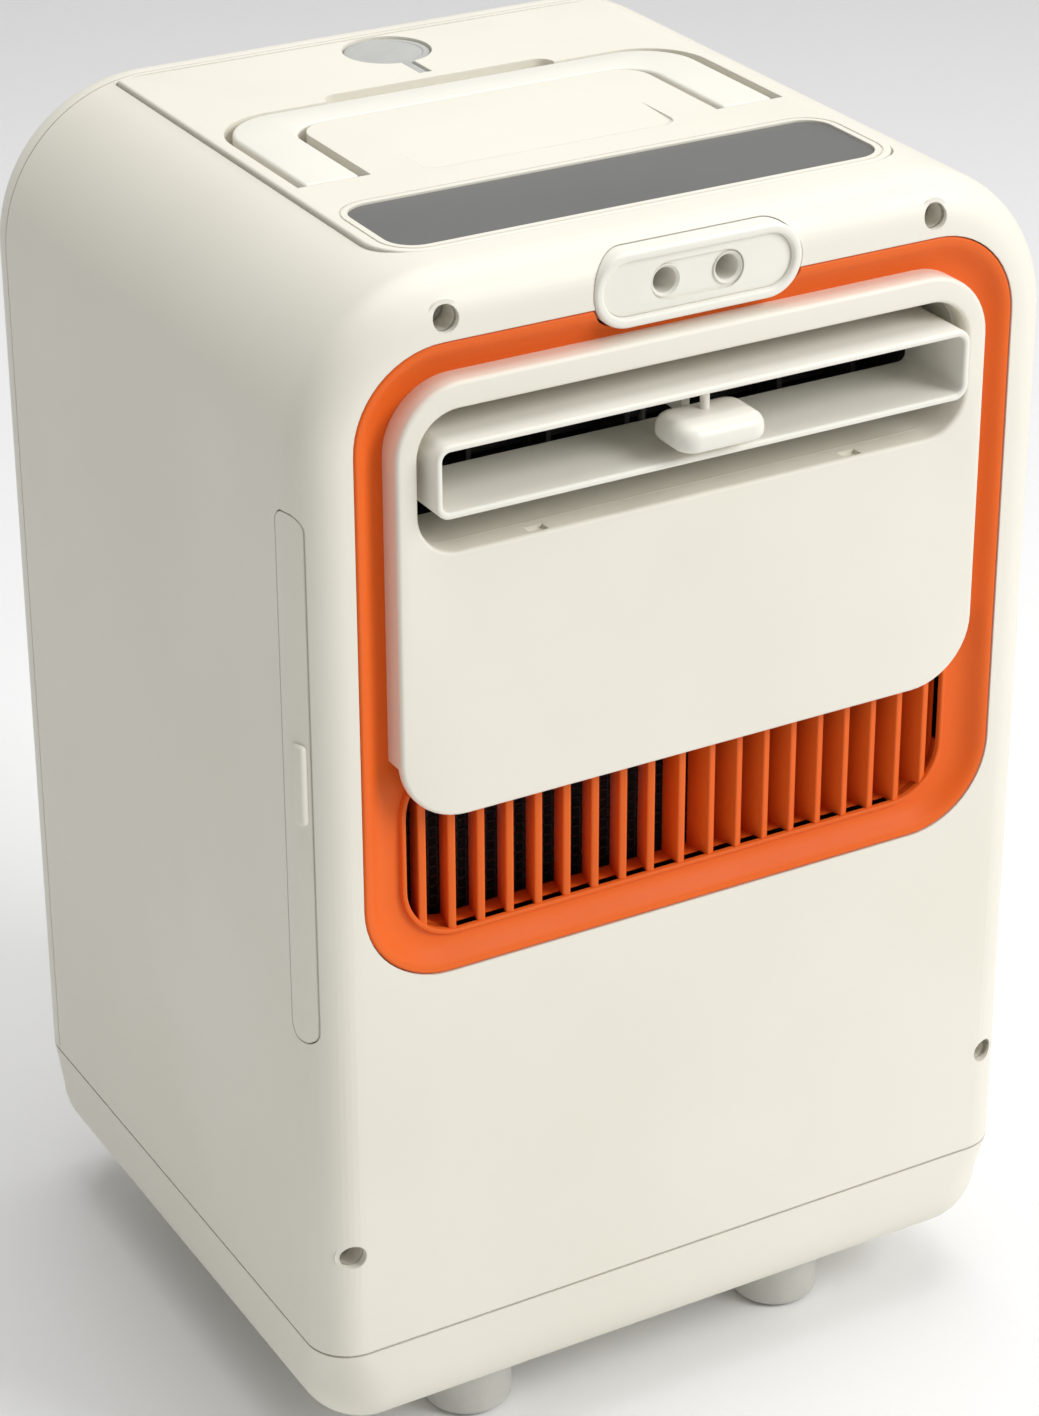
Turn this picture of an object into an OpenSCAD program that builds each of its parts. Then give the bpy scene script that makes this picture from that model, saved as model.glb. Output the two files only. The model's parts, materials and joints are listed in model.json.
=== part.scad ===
// Tabletop evaporative air conditioner: a moulded case with a tilting outlet, a fold-flat handle,
// a slide-in filter, a cross-flow fan, a top water tank and a twin mist head.
// Front faces -Y, +X is to the right seen from the front, the feet stand on z = 0.

/* [Case] */
// Width of the case
body_w = 250; // [240:1:320]
// Depth of the case
body_d = 220; // [212:1:280]
// Height from the floor to the flat top
body_h = 398.4; // [385:1:500]
// Height of the case's underside above the floor
foot_h = 21.4; // [16:1:40]
// Height of the joint between base tray and shell
seam_z = 54.8; // [49:0.1:70]
// Wall of the case mouldings
wall = 2.5; // [2:0.1:3.5]
// Radius of the two top corners seen from the front
top_r = 50; // [30:1:60]
// Radius along the front, rear and upright edges
edge_r = 14; // [10:0.5:18]
// Radius round the underside of the base tray
base_r = 22; // [15:1:24]
// Depth of the rear cover
rear_t = 16; // [14:1:24]

/* [Front] */
// Flat margin between the rounded edge and the coloured surround
ring_margin = 2; // [1:0.5:10]
// Top margin of the coloured surround
ring_top = 18; // [16:0.5:30]
// Height of the coloured surround
ring_h = 197.3; // [190:0.1:205]
// Corner radius of the coloured surround
ring_r = 28; // [20:1:34]
// Depth of the surround's floor behind the case front
floor_d = 5.2; // [4:0.1:5.6]
// Side margin of the raised front panel
panel_margin = 27.3; // [25:0.1:34]
// Distance from the top of the case to the top of the front panel
panel_top = 28.8; // [28:0.1:36]
// Height of the front panel
panel_h = 133.5; // [125:0.5:136]
// Corner radius of the front panel
panel_r = 21; // [14:1:26]
// How far the front panel stands out
panel_out = 3.4; // [1:0.1:6]
// Side margin of the air outlet
mouth_margin = 34; // [32:0.5:44]
// Distance from the top of the case to the top of the outlet
mouth_top = 36.8; // [36:0.1:44]
// Height of the outlet
mouth_h = 42.5; // [38:0.5:46]
// Corner radius of the outlet
mouth_r = 13; // [8:0.5:14]
// Pitch of the intake vanes
vane_pitch = 9.64; // [8.5:0.02:12]
// Splay of the intake vanes to each side, in degrees
vane_splay = 10; // [0:1:14]
// Thickness of the intake vanes
vane_t = 2; // [1.4:0.1:2.6]

/* [Outlet] */
// Height of the tilting outlet frame
frame_h = 22; // [18:0.5:24]
// Depth of the tilting outlet frame
frame_d = 29.5; // [24:0.5:32]
// Wall of the tilting outlet frame
frame_t = 2.1; // [1.6:0.1:3]
// Width of the thumb tab
tab_w = 29; // [22:0.5:40]
// Radius of the frame's pivot pins
pivot_r = 2; // [1.5:0.1:3]
// Pitch of the guide blades in the duct
blade_pitch = 26.5; // [22:0.5:28]
// Running clearance of every pin in its hole
run_gap = 0.05; // [0.03:0.01:0.09]

/* [Top] */
// Side margin of the top panel
top_margin = 39; // [37:0.5:44]
// Thickness of the top panel
top_t = 3.5; // [3:0.1:4.5]
// Outer half width of the handle
handle_x = 79; // [74:0.5:80]
// Width of the handle's arms
arm_w = 17.4; // [12:0.2:19]
// Width of the handle's grip bar, front to back
bar_w = 14; // [12:0.5:16]
// Thickness of the handle
handle_t = 6; // [5:0.2:6.5]
// Gap beside the handle's arms
arm_gap = 3; // [2:0.1:3.4]
// Radius of the handle's pivot pins
pin_r = 1.5; // [1:0.1:1.8]
// Radius of the filler plug's disc
plug_r = 13.6; // [12:0.2:14]
// Depth of the control strip, front to back
display_d = 37.5; // [30:0.5:38]

/* [Filter] */
// Thickness of the slide-in filter
filter_t = 2.4; // [2:0.1:2.6]
// Height of the slide-in filter
filter_h = 142; // [120:1:143]
// Sliding clearance round the filter
slide_gap = 0.4; // [0.3:0.05:0.6]

/* [Fan] */
// Radius of the cross-flow rotor
rotor_r = 38; // [30:0.5:40]
// Number of blades on the rotor
rotor_blades = 24; // [16:1:30]
// Radius of the fan shaft
shaft_r = 3; // [2.5:0.1:4]
// Radius of the fan motor
motor_r = 20; // [16:0.5:22]

/* [Hidden] */

hull_fn = 32;
round_fn = 48;
eps = 0.01;
half_w = body_w / 2;
front_y = -body_d / 2;
rear_y = body_d / 2;
rear_seam_y = rear_y - rear_t;
inner_x = half_w - wall;

function at_depth(d) = front_y + d;
function below_top(t) = body_h - t;

// Coloured surround and what sits in it
ring_w = body_w - 2 * (edge_r + ring_margin);
ring_z = below_top(ring_top + ring_h / 2);
floor_t = 2.4;
floor_back = floor_d + floor_t;
fit_gap = 0.2;
panel_w = body_w - 2 * panel_margin;
panel_z = below_top(panel_top + panel_h / 2);
panel_t = 2.5;
mouth_w = body_w - 2 * mouth_margin;
mouth_z = below_top(mouth_top + mouth_h / 2);
grille_w = ring_w - 32;
grille_low = below_top(ring_top + ring_h) + 11.5;
grille_high = panel_z - panel_h / 2 + 16;
grille_r = 17;
lip_t = 1.8;
lip_out = 1.6;
vanes_side = floor((grille_w / 2 - 3) / vane_pitch);
vane_front = floor_d - 1.2;
vane_back = vane_front + 9.8;

// Filter, guide rails and chassis plate behind the grille
filter_front = vane_back + 0.3;
filter_back = filter_front + filter_t;
plate_front = filter_back + slide_gap;
plate_t = 2.5;
plate_back = plate_front + plate_t;
filter_top = below_top(86);
filter_low = filter_top - filter_h;
filter_left = -half_w + 5.5;
filter_right = half_w - 21;
strip_top = filter_top + 23.7;
strip_low = filter_low - 3.7;
strip_front = 5.1;
strip_r = 4.5;
strip_back = filter_back + slide_gap - 0.1;

// Duct and moving outlet
duct_w = mouth_w;
duct_h = mouth_h + 2.5;
duct_wall = 2;
duct_back = 62;
frame_w = mouth_w - 5.6;
frame_front = -8.6;
frame_z = below_top(55.5);
frame_pivot_d = frame_front + frame_d - 5;
post_d = -4;
post_pin_r = 1.4;
tab_front = 13;
tab_depth = 20.4;
tab_t = 8;
shift_y = (tab_front - post_d) / 2;
tail_end = 36;
rod_d = 30;
blade_d = 48;
blade_depth = 20;
blade_t = 1.6;
blade_pin_r = 1.2;
blade_gap = 0.5;
link_arm = 7;
link_pin_r = 0.8;
link_z = mouth_z - duct_h / 2 + 2.1;
link_t = 1.6;

// Mist head
boss_z = below_top(14.2);
boss_w = 68.4;
boss_h = 22.8;
boss_out = 0.8;
mist_x = 10.2;
mist_r = 4.9;
mist_bore = 3.75;
wick_r = 2.5;
wick_z = boss_z - 3.8;
mist_back = 12;

// Fan
fan_d = 88;
fan_z = below_top(153);
scroll_gap = 4;
scroll_t = 2;
scroll_r = rotor_r + scroll_gap;
rotor_len = mouth_w - 6;
plate_x = duct_w / 2;
end_t = 2.5;
motor_bolt = 13;
motor_screw_r = 1.5;
scroll_back_d = fan_d + scroll_r + scroll_t;

// Tank
tank_front = scroll_back_d + 2;
tank_back_y = rear_seam_y - 1;
tank_w = body_w - 50;
tank_top = below_top(11);
tank_low = below_top(158);
tank_t = 2;
shelf_t = 3;
hose_r = 2.8;

// Top panel
top_w = body_w - 2 * top_margin;
top_front = 22;
top_back_y = rear_seam_y - 2.4;
top_mid_y = (at_depth(top_front) + top_back_y) / 2;
top_len = top_back_y - at_depth(top_front);
top_seat = body_h - top_t;
top_hole_w = top_w - 3;
top_corner = 15;
top_rear_corner = 1.5;
ledge_t = 2.8;
display_front = 26.3;
display_w = top_w - 12;
lens_t = 1.2;
lens_drop = 0.5;
board_z = body_h - 9;
handle_front = 85.5;
handle_back = 148.5;
handle_pivot_d = handle_front + handle_t / 2;
handle_pivot_z = body_h - handle_t / 2;
well_floor = body_h - 8;
well_t = 2;
plug_y = top_back_y - 15.2;
strap_len = 24;
strap_w = 3.4;
plug_hinge_y = plug_y - strap_len;
neck_r = plug_r - 3;
neck_t = 2;

// Screws and posts
screw_r = 1.7;
head_r = 3;
post_r = 5.4;
front_hole_r = 3.4;
front_post_back = plate_front;
front_post_floor = 11;
upper_screw_x = half_w - 45.1;
upper_screw_z = below_top(11.6);
lower_screw_x = half_w - 10;
lower_screw_z = seam_z + 36.4;
base_screw_x = half_w - 25;
base_screw_y = body_d / 2 - 40;
base_post_top = seam_z + 2;
shell_post_h = 30;
rear_screw_x = half_w - 20;
rear_screw_low = seam_z + 25;
rear_screw_high = below_top(75);
foot_r = 14.6;
foot_x = half_w - 66.3;
foot_y = body_d / 2 - 35;

// Rear
vent_low = seam_z + 30;
vent_high = tank_low - 8;
vent_x = half_w - 42;
inlet_x = -half_w + 55;
inlet_z = seam_z + 14;
inlet_bore = 2.75;
inlet_len = 12;

ivory = [0.93, 0.92, 0.86];
orange = [0.87, 0.38, 0.13];
charcoal = [0.17, 0.17, 0.17];
grey = [0.68, 0.68, 0.66];
steel = [0.75, 0.76, 0.78];
green = [0.1, 0.35, 0.2];
clear_blue = [0.8, 0.88, 0.93];

// ---- shared shapes ----

// Rounded rectangle centred on the origin, with true round corners
module rounded(w, h, r) {
  square([w - 2 * r, h], center = true);
  square([w, h - 2 * r], center = true);
  for (sx = [-1, 1], sy = [-1, 1])
    translate([sx * (w / 2 - r), sy * (h / 2 - r)])
      circle(r, $fn = round_fn);
}

// A slab facing the front: outline in X and Z, from depth d0 to depth d1
module front_slab(w, h, r, z, d0, d1) {
  translate([0, at_depth(d1), z])
    rotate([90, 0, 0])
      linear_extrude(d1 - d0)
        rounded(w, h, r);
}

// Outline of the top panel, grown by grow, with round front and tight rear corners
module top_outline(grow) {
  w = top_w / 2 + grow;
  l = top_len / 2 + grow;
  f = top_corner + grow;
  b = top_rear_corner + grow;
  translate([-w, f - l])
    square([2 * w, 2 * l - f - b]);
  translate([f - w, -l])
    square([2 * (w - f), 2 * l - b]);
  translate([b - w, f - l])
    square([2 * (w - b), 2 * l - f]);
  for (sx = [-1, 1]) {
    translate([sx * (w - f), f - l])
      circle(f, $fn = round_fn);
    translate([sx * (w - b), l - b])
      circle(b, $fn = round_fn);
  }
}

// A box given by its low and high corners
module span(low, high) {
  translate(low)
    cube(high - low);
}

// A cylinder along Y between two Y values
module rod_y(x, z, y0, y1, r) {
  translate([x, y1, z])
    rotate([90, 0, 0])
      cylinder(h = y1 - y0, r = r, $fn = round_fn);
}

// A cylinder along X between two X values
module rod_x(x0, x1, y, z, r) {
  translate([x0, y, z])
    rotate([0, 90, 0])
      cylinder(h = x1 - x0, r = r, $fn = round_fn);
}

// A cylinder along Z between two Z values
module rod_z(x, y, z0, z1, r) {
  translate([x, y, z0])
    cylinder(h = z1 - z0, r = r, $fn = round_fn);
}

// A sheet cut to an outline in Y and Z, spread along X
module side_sheet(x0, x1) {
  translate([x0, 0, 0])
    rotate([90, 0, 90])
      linear_extrude(x1 - x0)
        children();
}

// The case above the seam as one closed solid, shrunk by inset on every outer face
module upper_body(inset) {
  ring_major = top_r - edge_r;
  hull() {
    for (sx = [-1, 1], sy = [-1, 1]) {
      translate([sx * (half_w - top_r), sy * (body_d / 2 - edge_r), body_h - top_r])
        rotate([90, 0, 0])
          rotate_extrude($fn = round_fn)
            translate([ring_major, 0])
              circle(edge_r - inset, $fn = hull_fn);
      translate([sx * (half_w - edge_r), sy * (body_d / 2 - edge_r), seam_z - inset])
        cylinder(h = 1, r = edge_r - inset, $fn = hull_fn);
    }
  }
}

// The case below the seam as one closed solid
module lower_body(inset) {
  hull() {
    for (sx = [-1, 1], sy = [-1, 1]) {
      translate([sx * (half_w - base_r), sy * (body_d / 2 - base_r), foot_h + inset])
        cylinder(h = 1, r = 2, $fn = hull_fn);
      translate([sx * (half_w - base_r), sy * (body_d / 2 - base_r), foot_h + base_r])
        sphere(base_r - inset, $fn = hull_fn);
      translate([sx * (half_w - edge_r), sy * (body_d / 2 - edge_r), seam_z - 1 + inset])
        cylinder(h = 1, r = edge_r - inset, $fn = hull_fn);
    }
  }
}

// The whole object is centred on the origin, grip included
module placed() {
  translate([0, shift_y, 0])
    children();
}

// ---- case ----

module base_tray() {
  color(ivory)
    difference() {
      union() {
        difference() {
          lower_body(0);
          lower_body(wall);
          span([-half_w - 1, front_y - 1, seam_z], [half_w + 1, rear_y + 1, seam_z + base_r]);
        }
        for (sx = [-1, 1], sy = [-1, 1])
          rod_z(sx * base_screw_x, sy * base_screw_y, foot_h + wall / 2, base_post_top, post_r);
        for (sx = [-1, 1], sy = [-1, 1])
          rod_z(sx * 40, 15 + sy * 25, foot_h + wall / 2, foot_h + wall + 5, 3);
      }
      for (sx = [-1, 1], sy = [-1, 1]) {
        rod_z(sx * base_screw_x, sy * base_screw_y, foot_h - 1, base_post_top + 1, screw_r);
        rod_z(sx * base_screw_x, sy * base_screw_y, foot_h - 1, base_post_top - 6, head_r + 0.5);
        rod_z(sx * foot_x, sy * foot_y, foot_h - 1, foot_h + wall + 1, 4);
      }
    }
}

module foot(sx, sy) {
  edge = 3;
  color(grey)
    translate([sx * foot_x, sy * foot_y, 0]) {
      rotate_extrude($fn = round_fn) {
        square([foot_r - edge, foot_h]);
        translate([0, edge])
          square([foot_r, foot_h - edge]);
        intersection() {
          translate([foot_r - edge, edge])
            circle(edge, $fn = round_fn);
          square([foot_r, foot_h]);
        }
      }
      cylinder(h = foot_h + wall, r = 4, $fn = round_fn);
    }
}

module foot_front_left() { foot(-1, -1); }
module foot_front_right() { foot(1, -1); }
module foot_rear_left() { foot(-1, 1); }
module foot_rear_right() { foot(1, 1); }

module base_screws() {
  head = base_post_top - 6;
  color(steel)
    for (sx = [-1, 1], sy = [-1, 1]) {
      rod_z(sx * base_screw_x, sy * base_screw_y, head - 2.4, head, head_r);
      rod_z(sx * base_screw_x, sy * base_screw_y, head, base_post_top + 12, screw_r);
    }
}

module main_shell() {
  color(ivory)
    difference() {
      union() {
        difference() {
          upper_body(0);
          upper_body(wall);
        }
        span([-top_w / 2 - 4, at_depth(top_front - 4), top_seat - ledge_t],
             [top_w / 2 + 4, rear_seam_y, body_h - wall]);
        for (sx = [-1, 1]) {
          rod_y(sx * upper_screw_x, upper_screw_z, at_depth(wall / 2), at_depth(front_post_back),
                post_r);
          rod_y(sx * lower_screw_x, lower_screw_z, at_depth(wall / 2), at_depth(front_post_back),
                post_r);
          span([sx < 0 ? -inner_x - wall / 2 : inner_x - 4, at_depth(tank_front - 4), tank_low - 8],
               [sx < 0 ? -inner_x + 4 : inner_x + wall / 2, rear_seam_y - 2, tank_low - shelf_t]);
          for (sy = [-1, 1]) {
            rod_z(sx * base_screw_x, sy * base_screw_y, base_post_top,
                  base_post_top + shell_post_h, post_r);
            span([sx < 0 ? -inner_x - wall / 2 : base_screw_x, sy * base_screw_y - 1.2,
                  base_post_top],
                 [sx < 0 ? -base_screw_x : inner_x + wall / 2, sy * base_screw_y + 1.2,
                  base_post_top + shell_post_h]);
          }
          for (z = [rear_screw_low, rear_screw_high]) {
            rod_y(sx * rear_screw_x, z, rear_seam_y - 18, rear_seam_y, 4.5);
            span([sx < 0 ? -inner_x - wall / 2 : rear_screw_x, rear_seam_y - 18, z - 1.2],
                 [sx < 0 ? -rear_screw_x : inner_x + wall / 2, rear_seam_y, z + 1.2]);
          }
        }
      }
      // open underside and open back
      span([-half_w - 1, front_y - 1, seam_z - 20], [half_w + 1, rear_y + 1, seam_z]);
      span([-half_w - 1, rear_seam_y, seam_z - 20], [half_w + 1, rear_y + 1, body_h + 1]);
      // front opening for the surround
      front_slab(ring_w, ring_h, ring_r, ring_z, -1, wall + 2);
      // mist head seat
      front_slab(boss_w, boss_h, boss_h / 2 - eps, boss_z, -1, wall + 6);
      // recess and opening for the top panel
      translate([0, top_mid_y, top_seat])
        linear_extrude(top_t + 1)
          top_outline(fit_gap);
      translate([0, top_mid_y, top_seat - ledge_t - 1])
        linear_extrude(ledge_t + 2)
          rounded(top_hole_w, top_len - 8, 12);
      rod_z(0, plug_y, top_seat - ledge_t - 1, top_seat + 1, neck_r + neck_t + 0.5);
      // slot for the filter and its end strip
      span([-half_w - 1, at_depth(strip_front), strip_low - slide_gap / 2],
           [-half_w + edge_r, at_depth(strip_back), strip_top + slide_gap / 2]);
      // front screw pockets
      for (p = [[upper_screw_x, upper_screw_z], [lower_screw_x, lower_screw_z]], sx = [-1, 1]) {
        rod_y(sx * p[0], p[1], front_y - 1, at_depth(front_post_floor), front_hole_r);
        rod_y(sx * p[0], p[1], front_y - 1, at_depth(front_post_back + 1), screw_r);
      }
      for (sx = [-1, 1], sy = [-1, 1])
        rod_z(sx * base_screw_x, sy * base_screw_y, base_post_top - 1, base_post_top + 12, screw_r);
      for (sx = [-1, 1], z = [rear_screw_low, rear_screw_high])
        rod_y(sx * rear_screw_x, z, rear_seam_y - 12, rear_seam_y + 1, screw_r);
    }
}

module front_screws() {
  color(steel)
    for (p = [[upper_screw_x, upper_screw_z], [lower_screw_x, lower_screw_z]], sx = [-1, 1]) {
      rod_y(sx * p[0], p[1], at_depth(front_post_floor - 2.2), at_depth(front_post_floor), head_r);
      rod_y(sx * p[0], p[1], at_depth(front_post_floor), at_depth(plate_back), screw_r);
    }
}

module rear_cover() {
  slots = 14;
  slot_h = (vent_high - vent_low) / slots;
  color(ivory)
    difference() {
      union() {
        difference() {
          upper_body(0);
          upper_body(wall);
        }
        for (sx = [-1, 1], z = [rear_screw_low, rear_screw_high])
          rod_y(sx * rear_screw_x, z, rear_seam_y, rear_y - wall / 2, 4.5);
        translate([inlet_x, 0, inlet_z])
          span([-7, rear_y - inlet_len - 2, -7], [7, rear_y - wall / 2, 7]);
      }
      span([-half_w - 1, front_y - 1, seam_z - 20], [half_w + 1, rear_seam_y, body_h + 1]);
      span([-half_w - 1, front_y - 1, seam_z - 20], [half_w + 1, rear_y + 1, seam_z]);
      for (i = [0 : slots - 1], sx = [-1, 1])
        translate([sx * (vent_x / 2 + 1), 0, vent_low + (i + 0.5) * slot_h])
          span([-vent_x / 2 + 1, rear_y - wall - 1, -slot_h * 0.27],
               [vent_x / 2 - 1, rear_y + 1, slot_h * 0.27]);
      for (sx = [-1, 1], z = [rear_screw_low, rear_screw_high]) {
        rod_y(sx * rear_screw_x, z, rear_seam_y - 1, rear_y + 1, screw_r);
        rod_y(sx * rear_screw_x, z, rear_y - 8, rear_y + 1, front_hole_r);
      }
      rod_y(inlet_x, inlet_z, rear_y - inlet_len - 3, rear_y + 1, 5.5);
    }
}

module rear_screws() {
  color(steel)
    for (sx = [-1, 1], z = [rear_screw_low, rear_screw_high]) {
      rod_y(sx * rear_screw_x, z, rear_y - 8, rear_y - 5.8, head_r);
      rod_y(sx * rear_screw_x, z, rear_seam_y - 12, rear_y - 8, screw_r);
    }
}

module rear_screen() {
  bars = 24;
  step = (2 * vent_x + 4) / bars;
  color(charcoal)
    difference() {
      span([-vent_x - 4, rear_y - wall - 1.6, vent_low - 4],
           [vent_x + 4, rear_y - wall, vent_high + 4]);
      for (i = [0 : bars - 1])
        translate([-vent_x - 2 + (i + 0.5) * step, 0, 0])
          span([-step * 0.4, rear_y - wall - 3, vent_low],
               [step * 0.4, rear_y, vent_high]);
    }
}

module power_inlet() {
  color(charcoal)
    difference() {
      union() {
        rod_y(inlet_x, inlet_z, rear_y - inlet_len - 2, rear_y - 0.4, 5.5);
        rod_y(inlet_x, inlet_z, rear_y - inlet_len - 8, rear_y - inlet_len - 2, 4.5);
      }
      rod_y(inlet_x, inlet_z, rear_y - inlet_len, rear_y + 1, inlet_bore);
    }
}

module power_board() {
  z = foot_h + wall + 5;
  color(green)
    span([-48, -18, z], [48, 48, z + 1.6]);
  color(charcoal) {
    span([-30, -8, z + 1.6], [-4, 18, z + 18]);
    span([8, -6, z + 1.6], [32, 10, z + 12]);
    rod_z(20, 30, z + 1.6, z + 20, 7);
    rod_z(-20, 32, z + 1.6, z + 14, 5);
  }
}

// ---- inner frame ----

module chassis() {
  low = seam_z + 6;
  high = below_top(16);
  color(grey)
    difference() {
      union() {
        front_slab(body_w - 8, high - low, top_r - wall - 2, (high + low) / 2, plate_front,
                   plate_back);
        for (sx = [-1, 1])
          span([sx * lower_screw_x - 6, at_depth(plate_front), lower_screw_z - 6],
               [sx * lower_screw_x + 6, at_depth(plate_back), lower_screw_z + 6]);
        for (sx = [-1, 1])
          span([sx * upper_screw_x - 6, at_depth(plate_front), upper_screw_z - 8],
               [sx * upper_screw_x + 6, at_depth(plate_back), upper_screw_z + 5]);
        // guide rails above and below the filter
        span([-half_w + 14, at_depth(filter_front - slide_gap), filter_top + slide_gap],
             [filter_right + 4, at_depth(plate_front), filter_top + slide_gap + 2]);
        span([-half_w + 14, at_depth(filter_front - slide_gap), filter_low - slide_gap - 2],
             [filter_right + 4, at_depth(plate_front), filter_low - slide_gap]);
      }
      front_slab(duct_w + 2 * duct_wall, duct_h + 2 * duct_wall, 3, mouth_z,
                 plate_front - 1, plate_back + 1);
      front_slab(mouth_w, filter_h - 14, 6, filter_low + filter_h / 2, plate_front - 1,
                 plate_back + 1);
      for (sx = [-1, 1]) {
        rod_y(sx * lower_screw_x, lower_screw_z, at_depth(plate_front - 1),
              at_depth(plate_back + 1), screw_r);
        rod_y(sx * upper_screw_x, upper_screw_z, at_depth(plate_front - 1),
              at_depth(plate_back + 1), screw_r);
      }
      span([-24, at_depth(plate_front - 1), high - 10], [24, at_depth(plate_back + 1), high + 1]);
    }
}

// ---- front ----

module intake_grille() {
  back_w = ring_w + 1.6;
  back_h = ring_h + 1.6;
  lip_z = (grille_low + grille_high) / 2;
  lip_h = grille_high - grille_low;
  color(orange) {
    difference() {
      union() {
        difference() {
          front_slab(ring_w - 2 * fit_gap, ring_h - 2 * fit_gap, ring_r - fit_gap, ring_z,
                     fit_gap, floor_back);
          front_slab(ring_w - 7, ring_h - 7, ring_r - 3.5, ring_z, 0, 2.6);
          front_slab(ring_w - 12, ring_h - 12, ring_r - 6, ring_z, 0, floor_d);
        }
        difference() {
          front_slab(back_w, back_h, ring_r + 2, ring_z, wall, floor_back);
          front_slab(ring_w - 12, ring_h - 12, ring_r - 6, ring_z, 0, floor_d);
          front_slab(ring_w - 2 * fit_gap - 1, ring_h - 2 * fit_gap - 1, ring_r - 1, ring_z, 0,
                     wall + 1);
        }
        front_slab(grille_w + 2 * lip_t, lip_h + 2 * lip_t, grille_r + lip_t, lip_z,
                   floor_d - lip_out, floor_d + 1);
      }
      front_slab(grille_w, lip_h, grille_r, lip_z, -2, floor_back + 1);
      front_slab(duct_w, duct_h, mouth_r, mouth_z, -2, floor_back + 1);
      // room for the mist head
      front_slab(boss_w + 1, boss_h + 1, boss_h / 2, boss_z, -2, wall + 6);
    }
    intersection() {
      front_slab(grille_w + lip_t, lip_h + lip_t, grille_r + lip_t / 2, lip_z, vane_front,
                 vane_back);
      union() {
        intake_vane(0, 0);
        for (i = [1 : vanes_side], s = [-1, 1])
          intake_vane(s * i * vane_pitch, s * vane_splay);
      }
    }
    // throat wall that the vanes end on
    difference() {
      front_slab(grille_w + 2 * lip_t, lip_h + 2 * lip_t, grille_r + lip_t, lip_z,
                 floor_back - 0.5, vane_back);
      front_slab(grille_w, lip_h, grille_r, lip_z, floor_back - 1, vane_back + 1);
    }
    // cross bars that tie the vanes
    for (z = [grille_low - 0.5, grille_high - 1])
      span([-grille_w / 2 + grille_r, at_depth(floor_back - 1), z],
           [grille_w / 2 - grille_r, at_depth(vane_back), z + 1.5]);
  }
}

module intake_vane(x, splay) {
  depth = vane_back - vane_front;
  translate([x, at_depth(vane_front), grille_low - 2])
    rotate([0, 0, splay])
      translate([-vane_t / 2, -2, 0])
        cube([vane_t, depth + 4, grille_high - grille_low + 4]);
}

module front_panel() {
  color(ivory)
    difference() {
      union() {
        front_slab(panel_w, panel_h, panel_r, panel_z, -panel_out, -panel_out + panel_t);
        difference() {
          front_slab(panel_w, panel_h, panel_r, panel_z, -panel_out, floor_d);
          front_slab(panel_w - 2 * panel_t, panel_h - 2 * panel_t, panel_r - panel_t, panel_z,
                     -panel_out - 1, floor_d + 1);
          // open along the bottom, above the intake
          span([-panel_w, at_depth(-panel_out + panel_t), 0],
               [panel_w, at_depth(floor_d + 1), grille_high + lip_t + 1]);
        }
        front_slab(mouth_w + 2 * duct_wall, mouth_h + 2 * duct_wall, mouth_r + duct_wall, mouth_z,
                   -panel_out, floor_d);
      }
      front_slab(mouth_w, mouth_h, mouth_r, mouth_z, -panel_out - 1, floor_d + 1);
      // two catches in the lower edge of the outlet
      for (sx = [-1, 1])
        span([sx * 52.5 - 3, at_depth(-panel_out + 1.4), mouth_z - mouth_h / 2 - 1.2],
             [sx * 52.5 + 3, at_depth(1.6), mouth_z]);
    }
}

// ---- mist head ----

module nozzle_rim() {
  color(ivory)
    difference() {
      front_slab(boss_w - 2 * fit_gap, boss_h - 2 * fit_gap, boss_h / 2 - fit_gap - eps, boss_z,
                 -boss_out, wall + 6);
      front_slab(boss_w - 6.6, boss_h - 6.6, boss_h / 2 - 3.3 - eps, boss_z, -boss_out - 1,
                 wall + 7);
    }
}

module nozzle_plate() {
  face = boss_out;
  color(ivory)
    difference() {
      front_slab(boss_w - 6.6, boss_h - 6.6, boss_h / 2 - 3.3 - eps, boss_z, face, wall + 6);
      front_slab(30.4, 11.4, 5.7 - eps, boss_z, face - 1, face + 0.9);
      for (sx = [-1, 1])
        rod_y(sx * mist_x, boss_z, front_y - 5, at_depth(wall + 7), mist_r);
    }
}

module mist_tubes() {
  color(ivory)
    for (sx = [-1, 1])
      difference() {
        union() {
          rod_y(sx * mist_x, boss_z, at_depth(1.1), at_depth(mist_back), mist_r);
          rod_y(sx * mist_x, boss_z, at_depth(wall + 6), at_depth(mist_back), mist_r + 1.6);
        }
        rod_y(sx * mist_x, boss_z, front_y - 5, at_depth(mist_back + 1), mist_bore);
      }
}

module mist_disc(sx) {
  color(steel)
    rod_y(sx * mist_x, boss_z, at_depth(mist_back), at_depth(mist_back + 1.2), 5.5);
}

module mist_disc_left() { mist_disc(-1); }
module mist_disc_right() { mist_disc(1); }

module wick(sx) {
  color([0.95, 0.95, 0.93])
    rod_y(sx * mist_x, wick_z, at_depth(mist_back + 1.2), at_depth(tank_front + 12), wick_r);
}

module wick_left() { wick(-1); }
module wick_right() { wick(1); }

// ---- outlet ----

module outlet_duct() {
  color(charcoal)
    difference() {
      front_slab(duct_w + 2 * duct_wall, duct_h + 2 * duct_wall, 3, mouth_z, floor_back, duct_back);
      front_slab(duct_w, duct_h, 1, mouth_z, floor_back - 1, duct_back + 1);
      for (sx = [-1, 1])
        rod_x(sx < 0 ? -duct_w / 2 - 4 : duct_w / 2 - 1, sx < 0 ? -duct_w / 2 + 1 : duct_w / 2 + 4,
              at_depth(frame_pivot_d), frame_z, pivot_r + run_gap);
      for (i = [-3 : 3])
        rod_z(i * blade_pitch, at_depth(blade_d), mouth_z - duct_h, mouth_z + duct_h,
              blade_pin_r + run_gap);
    }
}

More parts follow.
